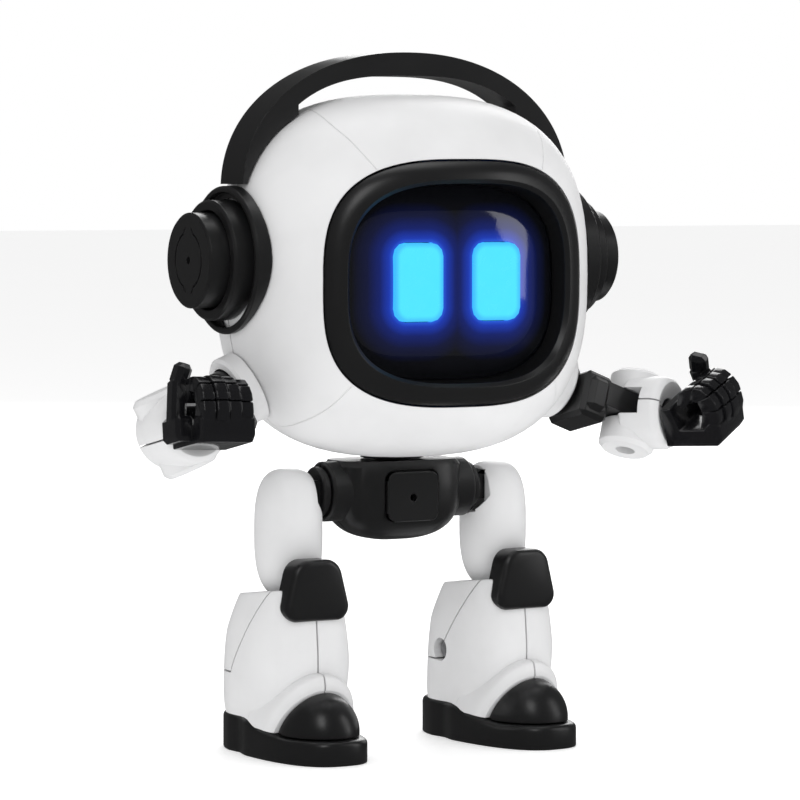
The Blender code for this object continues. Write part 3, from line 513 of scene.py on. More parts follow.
def head_front_y(x, z):
    """Y of the head's front surface above a point of the face."""
    rise = abs((z - HEAD_Z) / HEAD_HALF_Z) ** HEAD_SIDE_POWER
    reach = max(1.0 - rise, 0.0) ** (HEAD_PLAN_POWER / HEAD_SIDE_POWER)
    depth = max(reach - abs(x / HEAD_HALF_X) ** HEAD_PLAN_POWER, 0.0) ** (1.0 / HEAD_PLAN_POWER)
    return HEAD_Y - HEAD_FRONT * depth


def face_outline(inset, count=32):
    """The face opening's outline, moved inwards, as (x, z) points."""
    half_x = FACE_HALF_X - inset
    half_z = FACE_HALF_Z - inset
    return [(x, FACE_Z + z) for x, z in superellipse(half_x, half_z, FACE_POWER, count)]


def lens_y(x, z):
    """Y of the lens's front, flat in the middle and falling back at its edge."""
    across = abs(x / (FACE_HALF_X - FACE_RIM)) ** FACE_POWER
    up = abs((z - FACE_Z) / (FACE_HALF_Z - FACE_RIM)) ** FACE_POWER
    return LENS_Y + LENS_SAG * min((across + up) ** (4.0 / FACE_POWER), 1.3)


def lens_front_outline(inset, shift):
    """A face outline lying on the lens, moved back by a shift."""
    return [(x, lens_y(x, z) + shift, z) for x, z in face_outline(inset)]


def make_head_shells(body):
    """Front and rear half shells, split in the plane of the ears."""
    for name, low_y, high_y in (
        ("head_front_shell", -60.0, HEAD_SPLIT_Y - GAP / 2.0),
        ("head_rear_shell", HEAD_SPLIT_Y + GAP / 2.0, 60.0),
    ):
        shell = part(name, head_solid(), "white_shell", body)
        keep(shell, box((-60.0, low_y, 40.0), (60.0, high_y, 140.0)))
        cut(shell, head_solid(-HEAD_WALL, 24, 30))
        neck = rod(NECK_R + GAP, 48.0, 60.0)
        cut(shell, moved(neck, (0.0, PELVIS_Y, 0.0)))
        for side in (LEFT, RIGHT):
            cut(shell, ear_bore(), side=side)
            arm_hole = rod(4.9, -14.0, 6.0, "X", 18)
            cut(shell, arm_hole, side=side, location=SHOULDER, rotation=(0.0, SHOULDER_TILT, 0.0))
        if name == "head_front_shell":
            outline = [(z, x) for x, z in face_outline(-0.05)]
            cut(shell, prism(outline, -40.0, -10.0, "Y"))
            for side in (LEFT, RIGHT):
                for line in PANEL_LINES:
                    path = [on_head(point) for point in refined(line, 10)]
                    cut(shell, groove(path, 0.11), side=side)
        else:
            cut_rear_openings(shell)


def on_head(point):
    """Move a point straight out from the head's middle onto its skin."""
    x, y, z = point[0], point[1] - HEAD_Y, point[2] - HEAD_Z
    depth = HEAD_REAR if y > 0.0 else HEAD_FRONT
    plan = abs(x / HEAD_HALF_X) ** HEAD_PLAN_POWER + abs(y / depth) ** HEAD_PLAN_POWER
    size = plan ** (HEAD_SIDE_POWER / HEAD_PLAN_POWER) + abs(z / HEAD_HALF_Z) ** HEAD_SIDE_POWER
    scale = size ** (-1.0 / HEAD_SIDE_POWER)
    return (x * scale, HEAD_Y + y * scale, HEAD_Z + z * scale)


def groove(points, radius):
    """Thin round bar along a path, for cutting a line into a surface."""
    rings = []
    for index, here in enumerate(points):
        along = Vector(points[min(index + 1, len(points) - 1)]) - Vector(points[max(index - 1, 0)])
        outward = Vector(here) - Vector((0.0, HEAD_Y, HEAD_Z))
        across = (outward - outward.project(along)).normalized()
        other = along.normalized().cross(across)
        ring = []
        for step in range(8):
            angle = pi * step / 4.0
            ring.append(tuple(Vector(here) + radius * (cos(angle) * across + sin(angle) * other)))
        rings.append(ring)
    return loft(rings)


def ear_bore():
    """The passage of the ear button's stem through the head's side."""
    bore = rod(3.4, 28.0, 40.0, "X", 14)
    return moved(bore, (0.0, EAR_Y, EAR_Z))


def cut_rear_openings(shell):
    """Battery bay, switch slot and sound holes in the back of the head."""
    opening = rounded_rectangle(DOOR_HALF_Z, DOOR_HALF_X, 2.0)
    bay = moved(prism(opening, 18.0, 40.0, "Y"), (0.0, 0.0, DOOR_Z))
    cut(shell, bay)
    slot = moved(prism(rounded_rectangle(1.5, 3.6, 0.6, 2), 10.0, 40.0, "Y"), (0.0, 0.0, SWITCH_Z))
    cut(shell, slot)
    for row in (-1, 0, 1):
        for column in range(-2 + abs(row), 3 - abs(row)):
            hole = rod(0.7, 8.0, 34.0, "Y", 6)
            place = (column * 2.6, 0.0, SPEAKER_Z + row * 2.4)
            cut(shell, moved(hole, place))


def make_bezel(body):
    """Broad rounded rim around the recessed screen."""
    edge = [head_front_y(x, z) for x, z in face_outline(0.0)]

    def ring(inset, rise):
        outline = face_outline(inset)
        return [(x, y - rise, z) for (x, z), y in zip(outline, edge)]

    rings = [
        ring(GAP, -1.7),
        ring(GAP, 0.1),
        ring(0.9, 1.1),
        ring(2.3, 2.1),
        ring(3.5, RIDGE_RISE),
        ring(4.2, RIDGE_RISE - 0.7),
        lens_front_outline(FACE_RIM + 0.1, -GAP),
        lens_front_outline(2.6, -GAP),
    ]
    part("screen_bezel", loft(rings, closed=True), "black_satin", body)


def make_lens(body):
    """Smoked lens with two windows for the eyes."""
    insets = (14.0, 9.0, 5.0, 2.8)
    front = [lens_front_outline(inset, 0.0) for inset in insets]
    back = [lens_front_outline(inset, LENS_THICK) for inset in reversed(insets)]
    lens = part("screen_lens", loft(front + back), "smoked_lens", body)
    for side in (LEFT, RIGHT):
        cut(lens, eye_block(0.15, -30.0, -5.0), side=side)
        light = eye_block(0.0, LENS_Y - 0.12, LENS_Y + 3.6)
        part("eye_light_", light, "eye_light", body, side)


def eye_block(grow, low_y, high_y):
    """A light guide with a rounded rectangular end."""
    outline = rounded_rectangle(EYE_HALF_Z + grow, EYE_HALF_X + grow, EYE_RADIUS + grow, 3)
    return moved(prism(outline, low_y, high_y, "Y"), (EYE_X, 0.0, EYE_Z))


def make_battery_door(body):
    """Screwed door that follows the back of the head."""
    outline = rounded_rectangle(DOOR_HALF_Z - GAP, DOOR_HALF_X - GAP, 1.8)
    door = part("battery_door", head_solid(), "white_shell", body)
    cut(door, head_solid(-1.5, 24, 30))
    keep(door, moved(prism(outline, 18.0, 40.0, "Y"), (0.0, 0.0, DOOR_Z)))
    screw_z = DOOR_Z + DOOR_HALF_Z - 2.8
    hole = rod(1.5, 18.0, 40.0, "Y", 10)
    cut(door, moved(hole, (0.0, 0.0, screw_z)))


def make_switch(body):
    """Sliding power switch in its slot."""
    slide = joint("power_slide", body, (-1.4, 0.0, SWITCH_Z))
    knob = box((-1.6, 18.5, -1.1), (1.6, 22.6, 1.1))
    base = box((-2.6, 16.5, -2.6), (2.6, 18.6, 2.6))
    switch = part("power_switch", knob, "black_satin", slide)
    add(switch, base)


def make_headband(body):
    """Arch from ear to ear with a long slot above the crown."""
    steps = 104
    outline = []
    for step in range(steps + 1):
        angle = pi * step / steps
        x = BAND_HALF_X * signed_power(cos(angle), 2.0 / BAND_POWER)
        z = BAND_Z + BAND_RISE * abs(sin(angle)) ** (2.0 / BAND_POWER)
        outline.append((max(z, EAR_Z + CUP_R + GAP), x))
    outline += [(EAR_Z + CUP_R + GAP, -20.0), (EAR_Z + CUP_R + GAP, 20.0)]
    arch = prism(outline, BAND_FRONT_Y, BAND_REAR_Y, "Y")
    band = part("headband", arch, "black_satin", body)
    cut(band, head_solid(GAP))
    cut(band, prism(slot_outline(), -20.0, 20.0, "Y"))
    return band


def slot_outline():
    """Outline of the gap between the band and the crown, as (z, x) points."""
    points = []
    steps = 56
    for step in range(steps + 1):
        x = SLOT_HALF_X * cos(pi * step / steps)
        reach = abs(x / (BAND_HALF_X - 0.4)) ** 2.85
        points.append((80.0 + 41.0 * (1.0 - reach) ** (1.0 / 2.85), x))
    points += [(108.0, -SLOT_HALF_X), (108.0, SLOT_HALF_X)]
    return points


def make_ears(body):
    """Ear cups, rings and spring-loaded caps, with the shoulder collars below."""
    axis = (0.0, EAR_Y, EAR_Z)
    for side in (LEFT, RIGHT):
        cup = [(10.9, 27.0), (CUP_R, 27.0), (CUP_R, 35.1), (CUP_R - 0.4, 35.5), (12.1, 35.5)]
        cup += [(11.9, 35.3), (11.9, 34.3), (10.9, 34.3)]
        turned = revolve(cup, "X", 22, closed=True)
        flange = part("ear_cup_", turned, "black_satin", body, side, axis)
        cut(flange, head_solid(GAP), side=LEFT)
        ring = [(3.0, 35.1), (8.6, 35.1), (8.6, 33.0), (RING_R, 33.0), (RING_R, 38.1)]
        ring += [(RING_R - 0.4, 38.5), (8.9, 38.5), (8.7, 38.3), (8.7, 36.1), (3.0, 36.1)]
        turned = revolve(ring, "X", 20, closed=True)
        holder = part("ear_ring_", turned, "black_satin", body, side, axis)
        cut(holder, head_solid(GAP), side=LEFT)
        press = joint("ear_press", body, (EAR_FACE_X, EAR_Y, EAR_Z), side=side)
        cap = [(0.0, -11.6), (2.6, -11.6), (2.6, -4.8), (CAP_R, -4.8), (CAP_R, -0.4), (CAP_R - 0.4, 0.0)]
        cap += [(0.7, 0.0), (0.7, -1.5), (0.0, -1.5)]
        knob = part("ear_cap_", revolve(cap, "X", 20), "black_satin", press, side)
        for start in (100.0, 280.0):
            cut(knob, prism(arc_outline(start), -0.35, 1.0, "X"))
        collar = [(4.9, -9.0), (COLLAR_R, -9.0), (COLLAR_R, -0.5), (COLLAR_R - 0.5, 0.0), (4.9, 0.0)]
        turned = revolve(collar, "X", 18, closed=True)
        tilt = (0.0, SHOULDER_TILT, 0.0)
        tube = part("shoulder_collar_", turned, "white_shell", body, side, SHOULDER, tilt)
        cut(tube, head_solid(GAP), side=LEFT)


def arc_outline(start):
    """Engraved arc of the ear cap with short hooks at its ends, as (y, z) points."""
    inner, outer = [], []
    for step in range(41):
        angle = radians(start + 160.0 * step / 40)
        hook = max(abs(step - 20) - 17, 0) * 0.28
        inner.append(((4.75 + hook) * cos(angle), (4.75 + hook) * sin(angle)))
        outer.append(((5.15 + hook) * cos(angle), (5.15 + hook) * sin(angle)))
    return outer + inner[::-1]


# ---- pelvis


def pelvis_solid(inset=0.0, top=PELVIS_TOP):
    """Block with upright sides and a deep rounded bottom."""
    drop = PELVIS_WAIST - PELVIS_BOTTOM - inset
    rings = [[(0.0, PELVIS_Y, PELVIS_WAIST - drop)]]
    for step in range(1, 19):
        angle = pi / 2.0 * step / 18
        spread = sin(angle) ** (2.0 / 2.6)
        height = PELVIS_WAIST - drop * cos(angle) ** (2.0 / 2.6)
        rings.append(pelvis_ring(spread, height, inset))
    rings.append(pelvis_ring(1.0, top - 1.0, inset))
    rings.append(pelvis_ring(0.94, top, inset))
    return loft(rings)


def pelvis_ring(spread, height, inset):
    """One level of the pelvis."""
    outline = superellipse(PELVIS_HALF_X - inset, PELVIS_HALF_Y - inset, 3.4, 20)
    return [(x * spread, PELVIS_Y + y * spread, height) for x, y in outline]


def make_pelvis(body):
    """Two pelvis shells, the belly plate and the neck spigot."""
    for name, low_y, high_y in (
        ("pelvis_front_shell", -30.0, PELVIS_Y - GAP / 2.0),
        ("pelvis_rear_shell", PELVIS_Y + GAP / 2.0, 30.0),
    ):
        shell = part(name, pelvis_solid(), "black_satin", body)
        for side in (LEFT, RIGHT):
            stub = [(0.0, 8.0), (STUB_R, 8.0), (STUB_R, 14.3), (STUB_R - 0.4, 14.7), (0.0, 14.7)]
            turned = moved(revolve(stub, "X", 16), (0.0, PELVIS_Y, HIP_Z))
            add(shell, turned, side=side)
        cut(shell, pelvis_solid(PELVIS_WALL, PELVIS_TOP - PELVIS_WALL))
        for side in (LEFT, RIGHT):
            bore = rod(3.2, 5.0, 16.0, "X", 12)
            cut(shell, moved(bore, (0.0, PELVIS_Y, HIP_Z)), side=side)
        neck = rod(3.3, 48.0, 54.0, "Z", 12)
        cut(shell, moved(neck, (0.0, PELVIS_Y, 0.0)))
        keep(shell, box((-30.0, low_y, 20.0), (30.0, high_y, 70.0)))
        if name == "pelvis_front_shell":
            pocket = prism(rounded_rectangle(4.5 + GAP, 5.25 + GAP, 1.9), -8.0, -3.6, "Y")
            cut(shell, moved(pocket, (0.0, 0.0, 45.8)))
            hole = rod(0.7, -5.0, 0.0, "Y", 8)
            cut(shell, moved(hole, (0.0, 0.0, 45.6)))
    plate = prism(rounded_rectangle(4.5, 5.25, 1.6), -4.9, -3.9, "Y")
    bmesh.ops.bevel(plate, geom=plate.edges[:], offset=0.2 * MM, segments=1, affect="EDGES")
    belly = part("belly_plate", moved(plate, (0.0, 0.0, 45.8)), "black_satin", body)
    hole = rod(0.7, -6.0, 0.0, "Y", 8)
    cut(belly, moved(hole, (0.0, 0.0, 45.6)))
    spigot = [(0.0, 47.4), (3.9, 47.4), (3.9, 49.9), (3.0, 49.9), (3.0, 52.5), (5.7, 52.5), (5.7, 57.4)]
    spigot += [(7.2, 57.4), (7.2, 58.6), (0.0, 58.6)]
    part("neck_spigot", revolve(spigot, "Z", 16), "black_satin", body, LEFT, (0.0, PELVIS_Y, 0.0))


# ---- legs


def make_leg(pelvis, side):
    """Hip yoke, thigh and boot of one leg."""
    swing = joint("hip_swing", pelvis, (HIP_X, PELVIS_Y, HIP_Z), side=side)
    make_hip_yoke(swing, side)
    spread = joint("hip_spread", swing, side=side)
    make_thigh(spread, side)
    knee = joint("knee", spread, (0.0, 0.0, KNEE_Z - HIP_Z), side=side)
    yaw = (0.0, 0.0, BOOT_YAW[side])
    turn = joint("boot_turn", knee, (0.0, 0.0, -KNEE_Z), yaw, side)
    make_boot(turn, side)


def make_hip_yoke(swing, side):
    """Disc that turns on the pelvis stub and carries the spread pin's eye."""
    turned = [(0.0, -17.0), (3.7, -17.0), (3.7, -15.8), (2.9, -15.8), (2.9, -6.3), (DISC_R, -6.3)]
    turned += [(DISC_R, -5.5), (DISC_R - 0.4, -5.1), (0.0, -5.1)]
    yoke = part("hip_yoke_", revolve(turned, "X", 16), "black_satin", swing, side)
    arm = box((-5.6, -2.4, -2.2), (0.0, 2.4, 2.2))
    eye = rod(2.7, -2.4, 2.4, "Y", 14)
    add(yoke, arm, eye)
    hole = rod(1.1, -3.0, 3.0, "Y", 10)
    cut(yoke, hole)


def thigh_solid():
    """Upright capsule that narrows a little towards the knee."""
    middle = (THIGH_TOP + THIGH_BOTTOM) / 2.0 - HIP_Z
    top = THIGH_TOP - HIP_Z
    bottom = THIGH_BOTTOM - HIP_Z
    rings = [[(0.0, 0.0, bottom)]]
    levels = 36
    for level in range(1, levels):
        angle = pi * (level / levels - 0.5)
        reach = top - middle if angle > 0.0 else middle - bottom
        power = 2.0 / 3.0 if angle > 0.0 else 2.0 / 2.7
        height = middle + reach * signed_power(sin(angle), power)
        spread = cos(angle) ** power
        half = THIGH_R * spread
        rings.append([(x, y, height) for x, y in superellipse(half, half, 2.15, 16)])
    rings.append([(0.0, 0.0, top)])
    return loft(rings)


def make_thigh(spread, side):
    """Thigh with the hip notch above and the knee slot below."""
    thigh = part("thigh_", thigh_solid(), "white_shell", spread, side)
    knee = KNEE_Z - HIP_Z
    recess = rod(5.0, -9.0, -3.4, "X", 14)
    slot = box((-9.0, -2.75, -4.6), (3.1, 2.75, 3.0))
    link_slot = box((-2.3, -3.8, knee - 9.0), (2.3, 9.0, knee + 3.7))
    tools = [recess, slot, link_slot]
    for bore, low, high, height, axis in ((1.15, -4.4, 4.4, 0.0, "Y"), (1.15, -5.0, 5.0, knee, "X")):
        hole = rod(bore, low, high, axis, 10)
        tools.append(moved(hole, (0.0, 0.0, height)))
    cut(thigh, *tools)


def boot_solid(inset=0.0):
    """Flared leg of the boot without the foot."""
    rings = []
    for height, middle_y, half_x, half_y, power in refined(BOOT_LEVELS, 5):
        outline = superellipse(half_x - inset, half_y - inset, power, 24)
        slant = BOOT_SLANT * max(height - 22.0, 0.0) / (BOOT_TOP - 22.0)
        ring = []
        for x, y in outline:
            level = height - slant * (y + half_y)
            near_sole = max(1.0 - (height - BOOT_LEVELS[0][0]) / 4.3, 0.0)
            level += near_sole * (sole_top(middle_y + y) - SOLE_THICK)
            ring.append((x, middle_y - PELVIS_Y + y, level))
        rings.append(ring)
    return loft(rings, seam=6 * FINE)


def refined(rows, parts):
    """Rows of numbers with extra ones between them on smooth curves, and the ends kept."""
    last = len(rows) - 1
    finer = []
    for index in range(last):
        before, here = rows[max(index - 1, 0)], rows[index]
        after, beyond = rows[index + 1], rows[min(index + 2, last)]
        for step in range(parts):
            t = step / parts
            row = []
            for a, b, c, d in zip(before, here, after, beyond):
                bend = 2.0 * a - 5.0 * b + 4.0 * c - d
                twist = 3.0 * b - a - 3.0 * c + d
                row.append(b + 0.5 * t * (c - a + t * (bend + t * twist)))
            finer.append(tuple(row))
    finer.append(rows[last])
    return finer


def smooth_step(value):
    """Ease from 0 to 1 as a value goes from 0 to 1."""
    value = min(max(value, 0.0), 1.0)
    return value * value * (3.0 - 2.0 * value)


def sole_top(y):
    """Height of the sole's upper face, which steps up to the heel."""
    return SOLE_THICK + HEEL_RISE[0] * smooth_step((y + 9.0) / 9.0) + HEEL_RISE[1] * smooth_step(y / 5.5)


def instep_solid():
    """Rounded instep from the toe cap back into the leg."""
    rings = []
    for behind, half, top in refined(FOOT_SECTIONS, 5):
        rings.append([foot_point(behind, half, top, pi * step / 48) for step in range(49)])
    return loft(rings)


def foot_point(behind, half, top, angle):
    """Point of an arch that leans back like the toe cap's rim."""
    low = sole_top(toe_rim(SOLE_THICK) + behind) + GAP
    height = low + (top - low) * sin(angle)
    return (half * cos(angle), toe_rim(height) + behind - PELVIS_Y, height)


def toe_rim(height):
    """Y of the toe cap's rear edge at a height."""
    return TOE_TOP[0] + TOE_LEAN * (TOE_TOP[1] - height)


def calf_region(grow):
    """Wedge behind the slanted groove and above the heel."""
    top = 40.0
    slope = 0.63
    front_top = -2.5 - PELVIS_Y - (top - BOOT_TOP) * slope - grow
    low = 14.9 - grow
    front_low = -2.5 - PELVIS_Y + (BOOT_TOP - low) * slope - grow
    outline = [(front_top, top), (front_low, low), (30.0, low), (30.0, top)]
    return prism(outline, -15.0, 15.0, "X")


def make_boot(turn, side):
    """Boot halves, calf cover, knee pad, toe cap and sole."""
    for label, low, high in (("inner", -20.0, -GAP / 2.0), ("outer", GAP / 2.0, 20.0)):
        half = part("boot_" + label + "_", boot_solid(), "white_shell", turn, side)
        add(half, instep_solid())
        keep(half, box((low, -30.0, 0.0), (high, 30.0, 40.0)))
        cut(half, calf_region(GAP / 2.0))
        cut_boot_interior(half)
    cover = part("boot_calf_", boot_solid(), "white_shell", turn, side)
    keep(cover, calf_region(-GAP / 2.0))
    cut_boot_interior(cover)
    make_knee_pad(turn, side)
    make_toe_cap(turn, side)
    make_sole(turn, side)


def cut_boot_interior(obj):
    """Hollow for the knee, the peg's bearing and the screw pocket."""
    well = revolve([(0.0, 25.5), (6.4, 25.5), (6.9, 27.5), (6.9, 33.0), (0.0, 33.0)], "Z", 16)
    peg = [(0.0, 18.0), (4.6, 18.0), (4.6, 20.6), (2.7, 20.6), (2.7, 26.0), (0.0, 26.0)]
    tools = [well, revolve(peg, "Z", 12)]
    pocket = [(0.0, -14.0), (2.1, -14.0), (2.1, -6.4), (1.2, -6.4), (1.2, 1.3), (0.0, 1.3)]
    tools.append(moved(revolve(pocket, "X", 10), BOOT_SCREW))
    cut(obj, *tools)


def make_knee_pad(turn, side):
    """Rounded trapezoid pad with a bevelled front on the boot's top."""
    outline = pad_outline()
    rings = []
    for inset, y in PAD_LEVELS:
        scale = 1.0 - inset / 7.0
        rings.append([(x * scale, y - PELVIS_Y, 30.0 + (z - 30.0) * scale) for x, z in outline])
    pad = part("knee_pad_", loft(rings), "black_satin", turn, side)
    cut(pad, boot_solid(-GAP))


def pad_outline():
    """Trapezoid outline with round corners, as (x, z) points."""
    corners = ((7.2, 24.6, 2.4), (4.4, 35.5, 3.2), (-4.4, 35.5, 3.2), (-7.2, 24.6, 2.4))
    points = []
    for index, (x, z, radius) in enumerate(corners):
        before = Vector(corners[index - 1][:2])
        after = Vector(corners[(index + 1) % 4][:2])
        here = Vector((x, z))
        points += round_corner(before, here, after, radius)
    return points


def round_corner(before, here, after, radius, steps=12):
    """Arc that replaces a corner of an outline."""
    into = (here - before).normalized()
    out = (after - here).normalized()
    half = into.angle(out) / 2.0
    reach = radius * sin(half) / cos(half)
    start = here - into * reach
    end = here + out * reach
    centre = here + (out - into).normalized() * (radius / cos(half))
    first = atan2(start.y - centre.y, start.x - centre.x)
    last = atan2(end.y - centre.y, end.x - centre.x)
    sweep = (last - first + pi) % (2.0 * pi) - pi
    arc = []
    for step in range(steps + 1):
        angle = first + sweep * step / steps
        arc.append((centre.x + radius * cos(angle), centre.y + radius * sin(angle)))
    return arc


def make_toe_cap(turn, side):
    """Black dome in front of the instep."""
    rings = []
    low = SOLE_THICK + GAP
    for step in range(24):
        forward = sin(pi / 2.0 * step / 24)
        shrink = cos(pi / 2.0 * step / 24) ** 0.85
        base = sole_top(toe_rim(low) + (TOE_NOSE - toe_rim(low)) * forward) + GAP
        ring = []
        for turn_step in range(49):
            x = 7.2 * shrink * cos(pi * turn_step / 48)
            height = base + (TOE_TOP[1] - low) * shrink * sin(pi * turn_step / 48)
            y = toe_rim(height) + (TOE_NOSE - toe_rim(height)) * forward
            ring.append((x, y - PELVIS_Y, height))
        rings.append(ring)
    rings.append([(0.0, TOE_NOSE - PELVIS_Y, low + 0.01)])
    part("toe_cap_", loft(rings), "black_satin", turn, side)


def sole_outline(inset):
    """Sole seen from above: wide front, waist and round heel."""
    points = []
    count = 120
    for step in range(count):
        angle = 2.0 * pi * step / count
        y = 1.9 - 18.8 * signed_power(cos(angle), 0.9)
        width = 8.3 + 1.0 * cos(angle) - 0.9 * pinch(y)
        x = width * signed_power(sin(angle), 0.72)
        shrink = 1.0 - inset / 9.0
        points.append((x * shrink, (y - 1.9) * (1.0 - inset / 18.0) + 1.9 - PELVIS_Y))
    return points


def pinch(y):
    """How far the sole's waist is pulled in at a place along the foot."""
    return max(1.0 - abs((y - 9.0) / 4.0), 0.0)


def make_sole(turn, side):
    """Thick sole plate with a rounded upper edge."""
    rings = []
    for inset, z in ((0.3, 0.0), (0.08, 0.1), (0.0, 0.3)):
        rings.append([(x, y, z) for x, y in sole_outline(inset)])
    for inset, drop in ((0.0, 1.0), (0.07, 0.62), (0.3, 0.3), (0.6, 0.1), (1.0, 0.0)):
        rings.append([(x, y, sole_top(y + PELVIS_Y) - drop) for x, y in sole_outline(inset)])
    part("sole_", loft(rings, seam=0), "black_satin", turn, side)


# ---- arms


def make_arm(head, side):
    """Upper arm, forearm halves and hand."""
    mount = joint("shoulder_mount", head, SHOULDER, (0.0, SHOULDER_TILT, 0.0), side)
    shoulder = joint("shoulder", mount, (0.0, 0.0, 0.0), (-ARM_TWIST[side], 0.0, 0.0), side)
    make_upper_arm(shoulder, side)
    elbow = joint("elbow", shoulder, ELBOW_AT, (0.0, 0.0, -ELBOW_BEND[side]), side)
    make_forearm(elbow, side)
    wrist = joint("wrist", elbow, (DRUM_LENGTH, 0.0, 0.0), (WRIST_TURN[side], 0.0, 0.0), side)
    make_hand(wrist, side)


def make_upper_arm(shoulder, side):
    """Shoulder drum, block with its pad, and the elbow tongue."""
    turned = [(0.0, -12.0), (5.8, -12.0), (5.8, -10.6), (4.3, -10.6), (4.3, -1.0), (ARM_DRUM_R, -1.0)]
    turned += [(ARM_DRUM_R, 1.6), (0.0, 1.6)]
    arm = part("upper_arm_", revolve(turned, "X", 14), "black_satin", shoulder, side)
    block = rounded_box((0.6, -8.4, -6.8), (6.6, 2.6, 2.0), 0.8, 1)
    pad = rounded_box((1.4, -9.4, -5.4), (5.6, -7.4, 1.0), 0.9, 1)
    reach, across, up = ELBOW_AT
    tongue = box((3.0, across - 3.9, up - TONGUE_HALF), (reach, across + 3.9, up + TONGUE_HALF))
    eye = moved(rod(4.1, -TONGUE_HALF, TONGUE_HALF, "Z", 14), ELBOW_AT)
    add(arm, block, pad, tongue, eye)
    hole = rod(1.35, -4.0, 4.0, "Z", 10)
    cut(arm, moved(hole, ELBOW_AT))


def forearm_drum():
    """Round forearm along +X with a dished front and a bearing for the wrist."""
    profile = [(0.0, 0.3), (6.2, 0.3), (DRUM_R, 0.9), (DRUM_R, 6.8), (6.3, 7.9), (5.7, DRUM_LENGTH)]
    profile += [(5.0, 8.3), (4.0, 7.7), (2.7, 7.5), (2.7, 6.5), (3.7, 6.5), (3.7, 5.2), (0.0, 5.2)]
    return revolve(profile, "X", 20)


def make_forearm(elbow, side):
    """Two forearm halves clamped on the elbow tongue."""
    for label, sign in (("upper", 1), ("lower", -1)):
        half = part("forearm_" + label + "_", forearm_drum(), "white_shell", elbow, side)
        lug = [(0.0, 0.5), (LUG_R, 0.5), (LUG_R, LUG_END - 0.8), (LUG_R - 0.8, LUG_END), (0.0, LUG_END)]
        lug = revolve(lug, "Z", 16)
        if sign < 0:
            lug = moved(lug, rotation=(180.0, 0.0, 0.0))
        web = revolve([(0.0, -3.0), (5.9, -3.0), (6.5, -2.4), (6.5, 2.0), (0.0, 2.0)], "X", 20)
        side_web = cutter(web, elbow, side)
        keep(side_web, box((-9.0, 3.2, -9.0), (9.0, 9.0, 9.0)))
        add(half, lug, side_web)
        slot_half = TONGUE_HALF + GAP
        tools = [box((-9.0, -9.0, -slot_half), (4.6, 4.5, slot_half))]
        tools.append(rod(1.15, -4.9, 6.6, "Z", 10))
        tools.append(rod(1.8, -9.0, -4.8, "Z", 14))
        low = GAP / 2.0 if sign > 0 else -20.0
        high = 20.0 if sign > 0 else -GAP / 2.0
        keep(half, box((-20.0, -20.0, low), (20.0, 20.0, high)))
        cut(half, *tools)


def make_hand(wrist, side):
    """Open fist with the palm up: palm, four curled fingers and a thumb outside."""
    peg = [(0.0, -2.9), (3.4, -2.9), (3.4, -2.2), (2.4, -2.2), (2.4, 1.2), (0.0, 1.2)]
    hand = part("hand_", revolve(peg, "X", 14), "black_gloss", wrist, side)
    palm = prism([(up, forward) for forward, up in PALM_PROFILE], -5.1, 5.1, "Y")
    bmesh.ops.bevel(palm, geom=palm.edges[:], offset=0.35 * MM, segments=3, affect="EDGES", profile=0.6)
    pieces = [palm]
    for across, half, shift, stretch in FINGERS:
        for segment in FINGER_SEGMENTS:
            profile = [(up * stretch, forward + shift) for forward, up in segment]
            finger = prism(profile, across - half, across + half, "Y")
            edges = finger.edges[:]
            bmesh.ops.bevel(finger, geom=edges, offset=0.32 * MM, segments=3, affect="EDGES", profile=0.6)
            pieces.append(finger)
    pieces.append(box((11.2, -4.6, -1.8), (12.2, 4.6, 0.6)))
    pieces.append(rounded_box((2.6, 4.2, -5.0), (8.8, 7.9, -0.6), 0.7, 1))
    thumb = rounded_box((-1.6, -1.4, -2.0), (1.7, 1.5, 6.2), 0.7, 1)
    pieces.append(moved(thumb, (5.6, 6.2, 0.0), (8.0, -6.0, 0.0)))
    tip = rounded_box((-1.5, -1.3, -0.6), (2.0, 1.4, 3.6), 0.8, 1)
    pieces.append(moved(tip, (5.0, 5.4, 5.4), (16.0, 14.0, 0.0)))
    add(hand, *[moved(piece, HAND_SEAT) for piece in pieces])


# ---- assembly


def make_robot():
    """Build the whole robot from the pelvis outwards."""
    pelvis = joint("pelvis", None, (FRAME_SHIFT[0], FRAME_SHIFT[1], 0.0))
    make_pelvis(pelvis)
    neck = joint("neck_turn", pelvis, (0.0, PELVIS_Y, 0.0))
    head = joint("head", neck, (0.0, -PELVIS_Y, 0.0))
    make_head_shells(head)
    make_bezel(head)
    make_lens(head)
    make_battery_door(head)
    make_switch(head)
    make_headband(head)
    make_ears(head)
    for side in (LEFT, RIGHT):
        make_leg(pelvis, side)
        make_arm(head, side)


# ---- materials


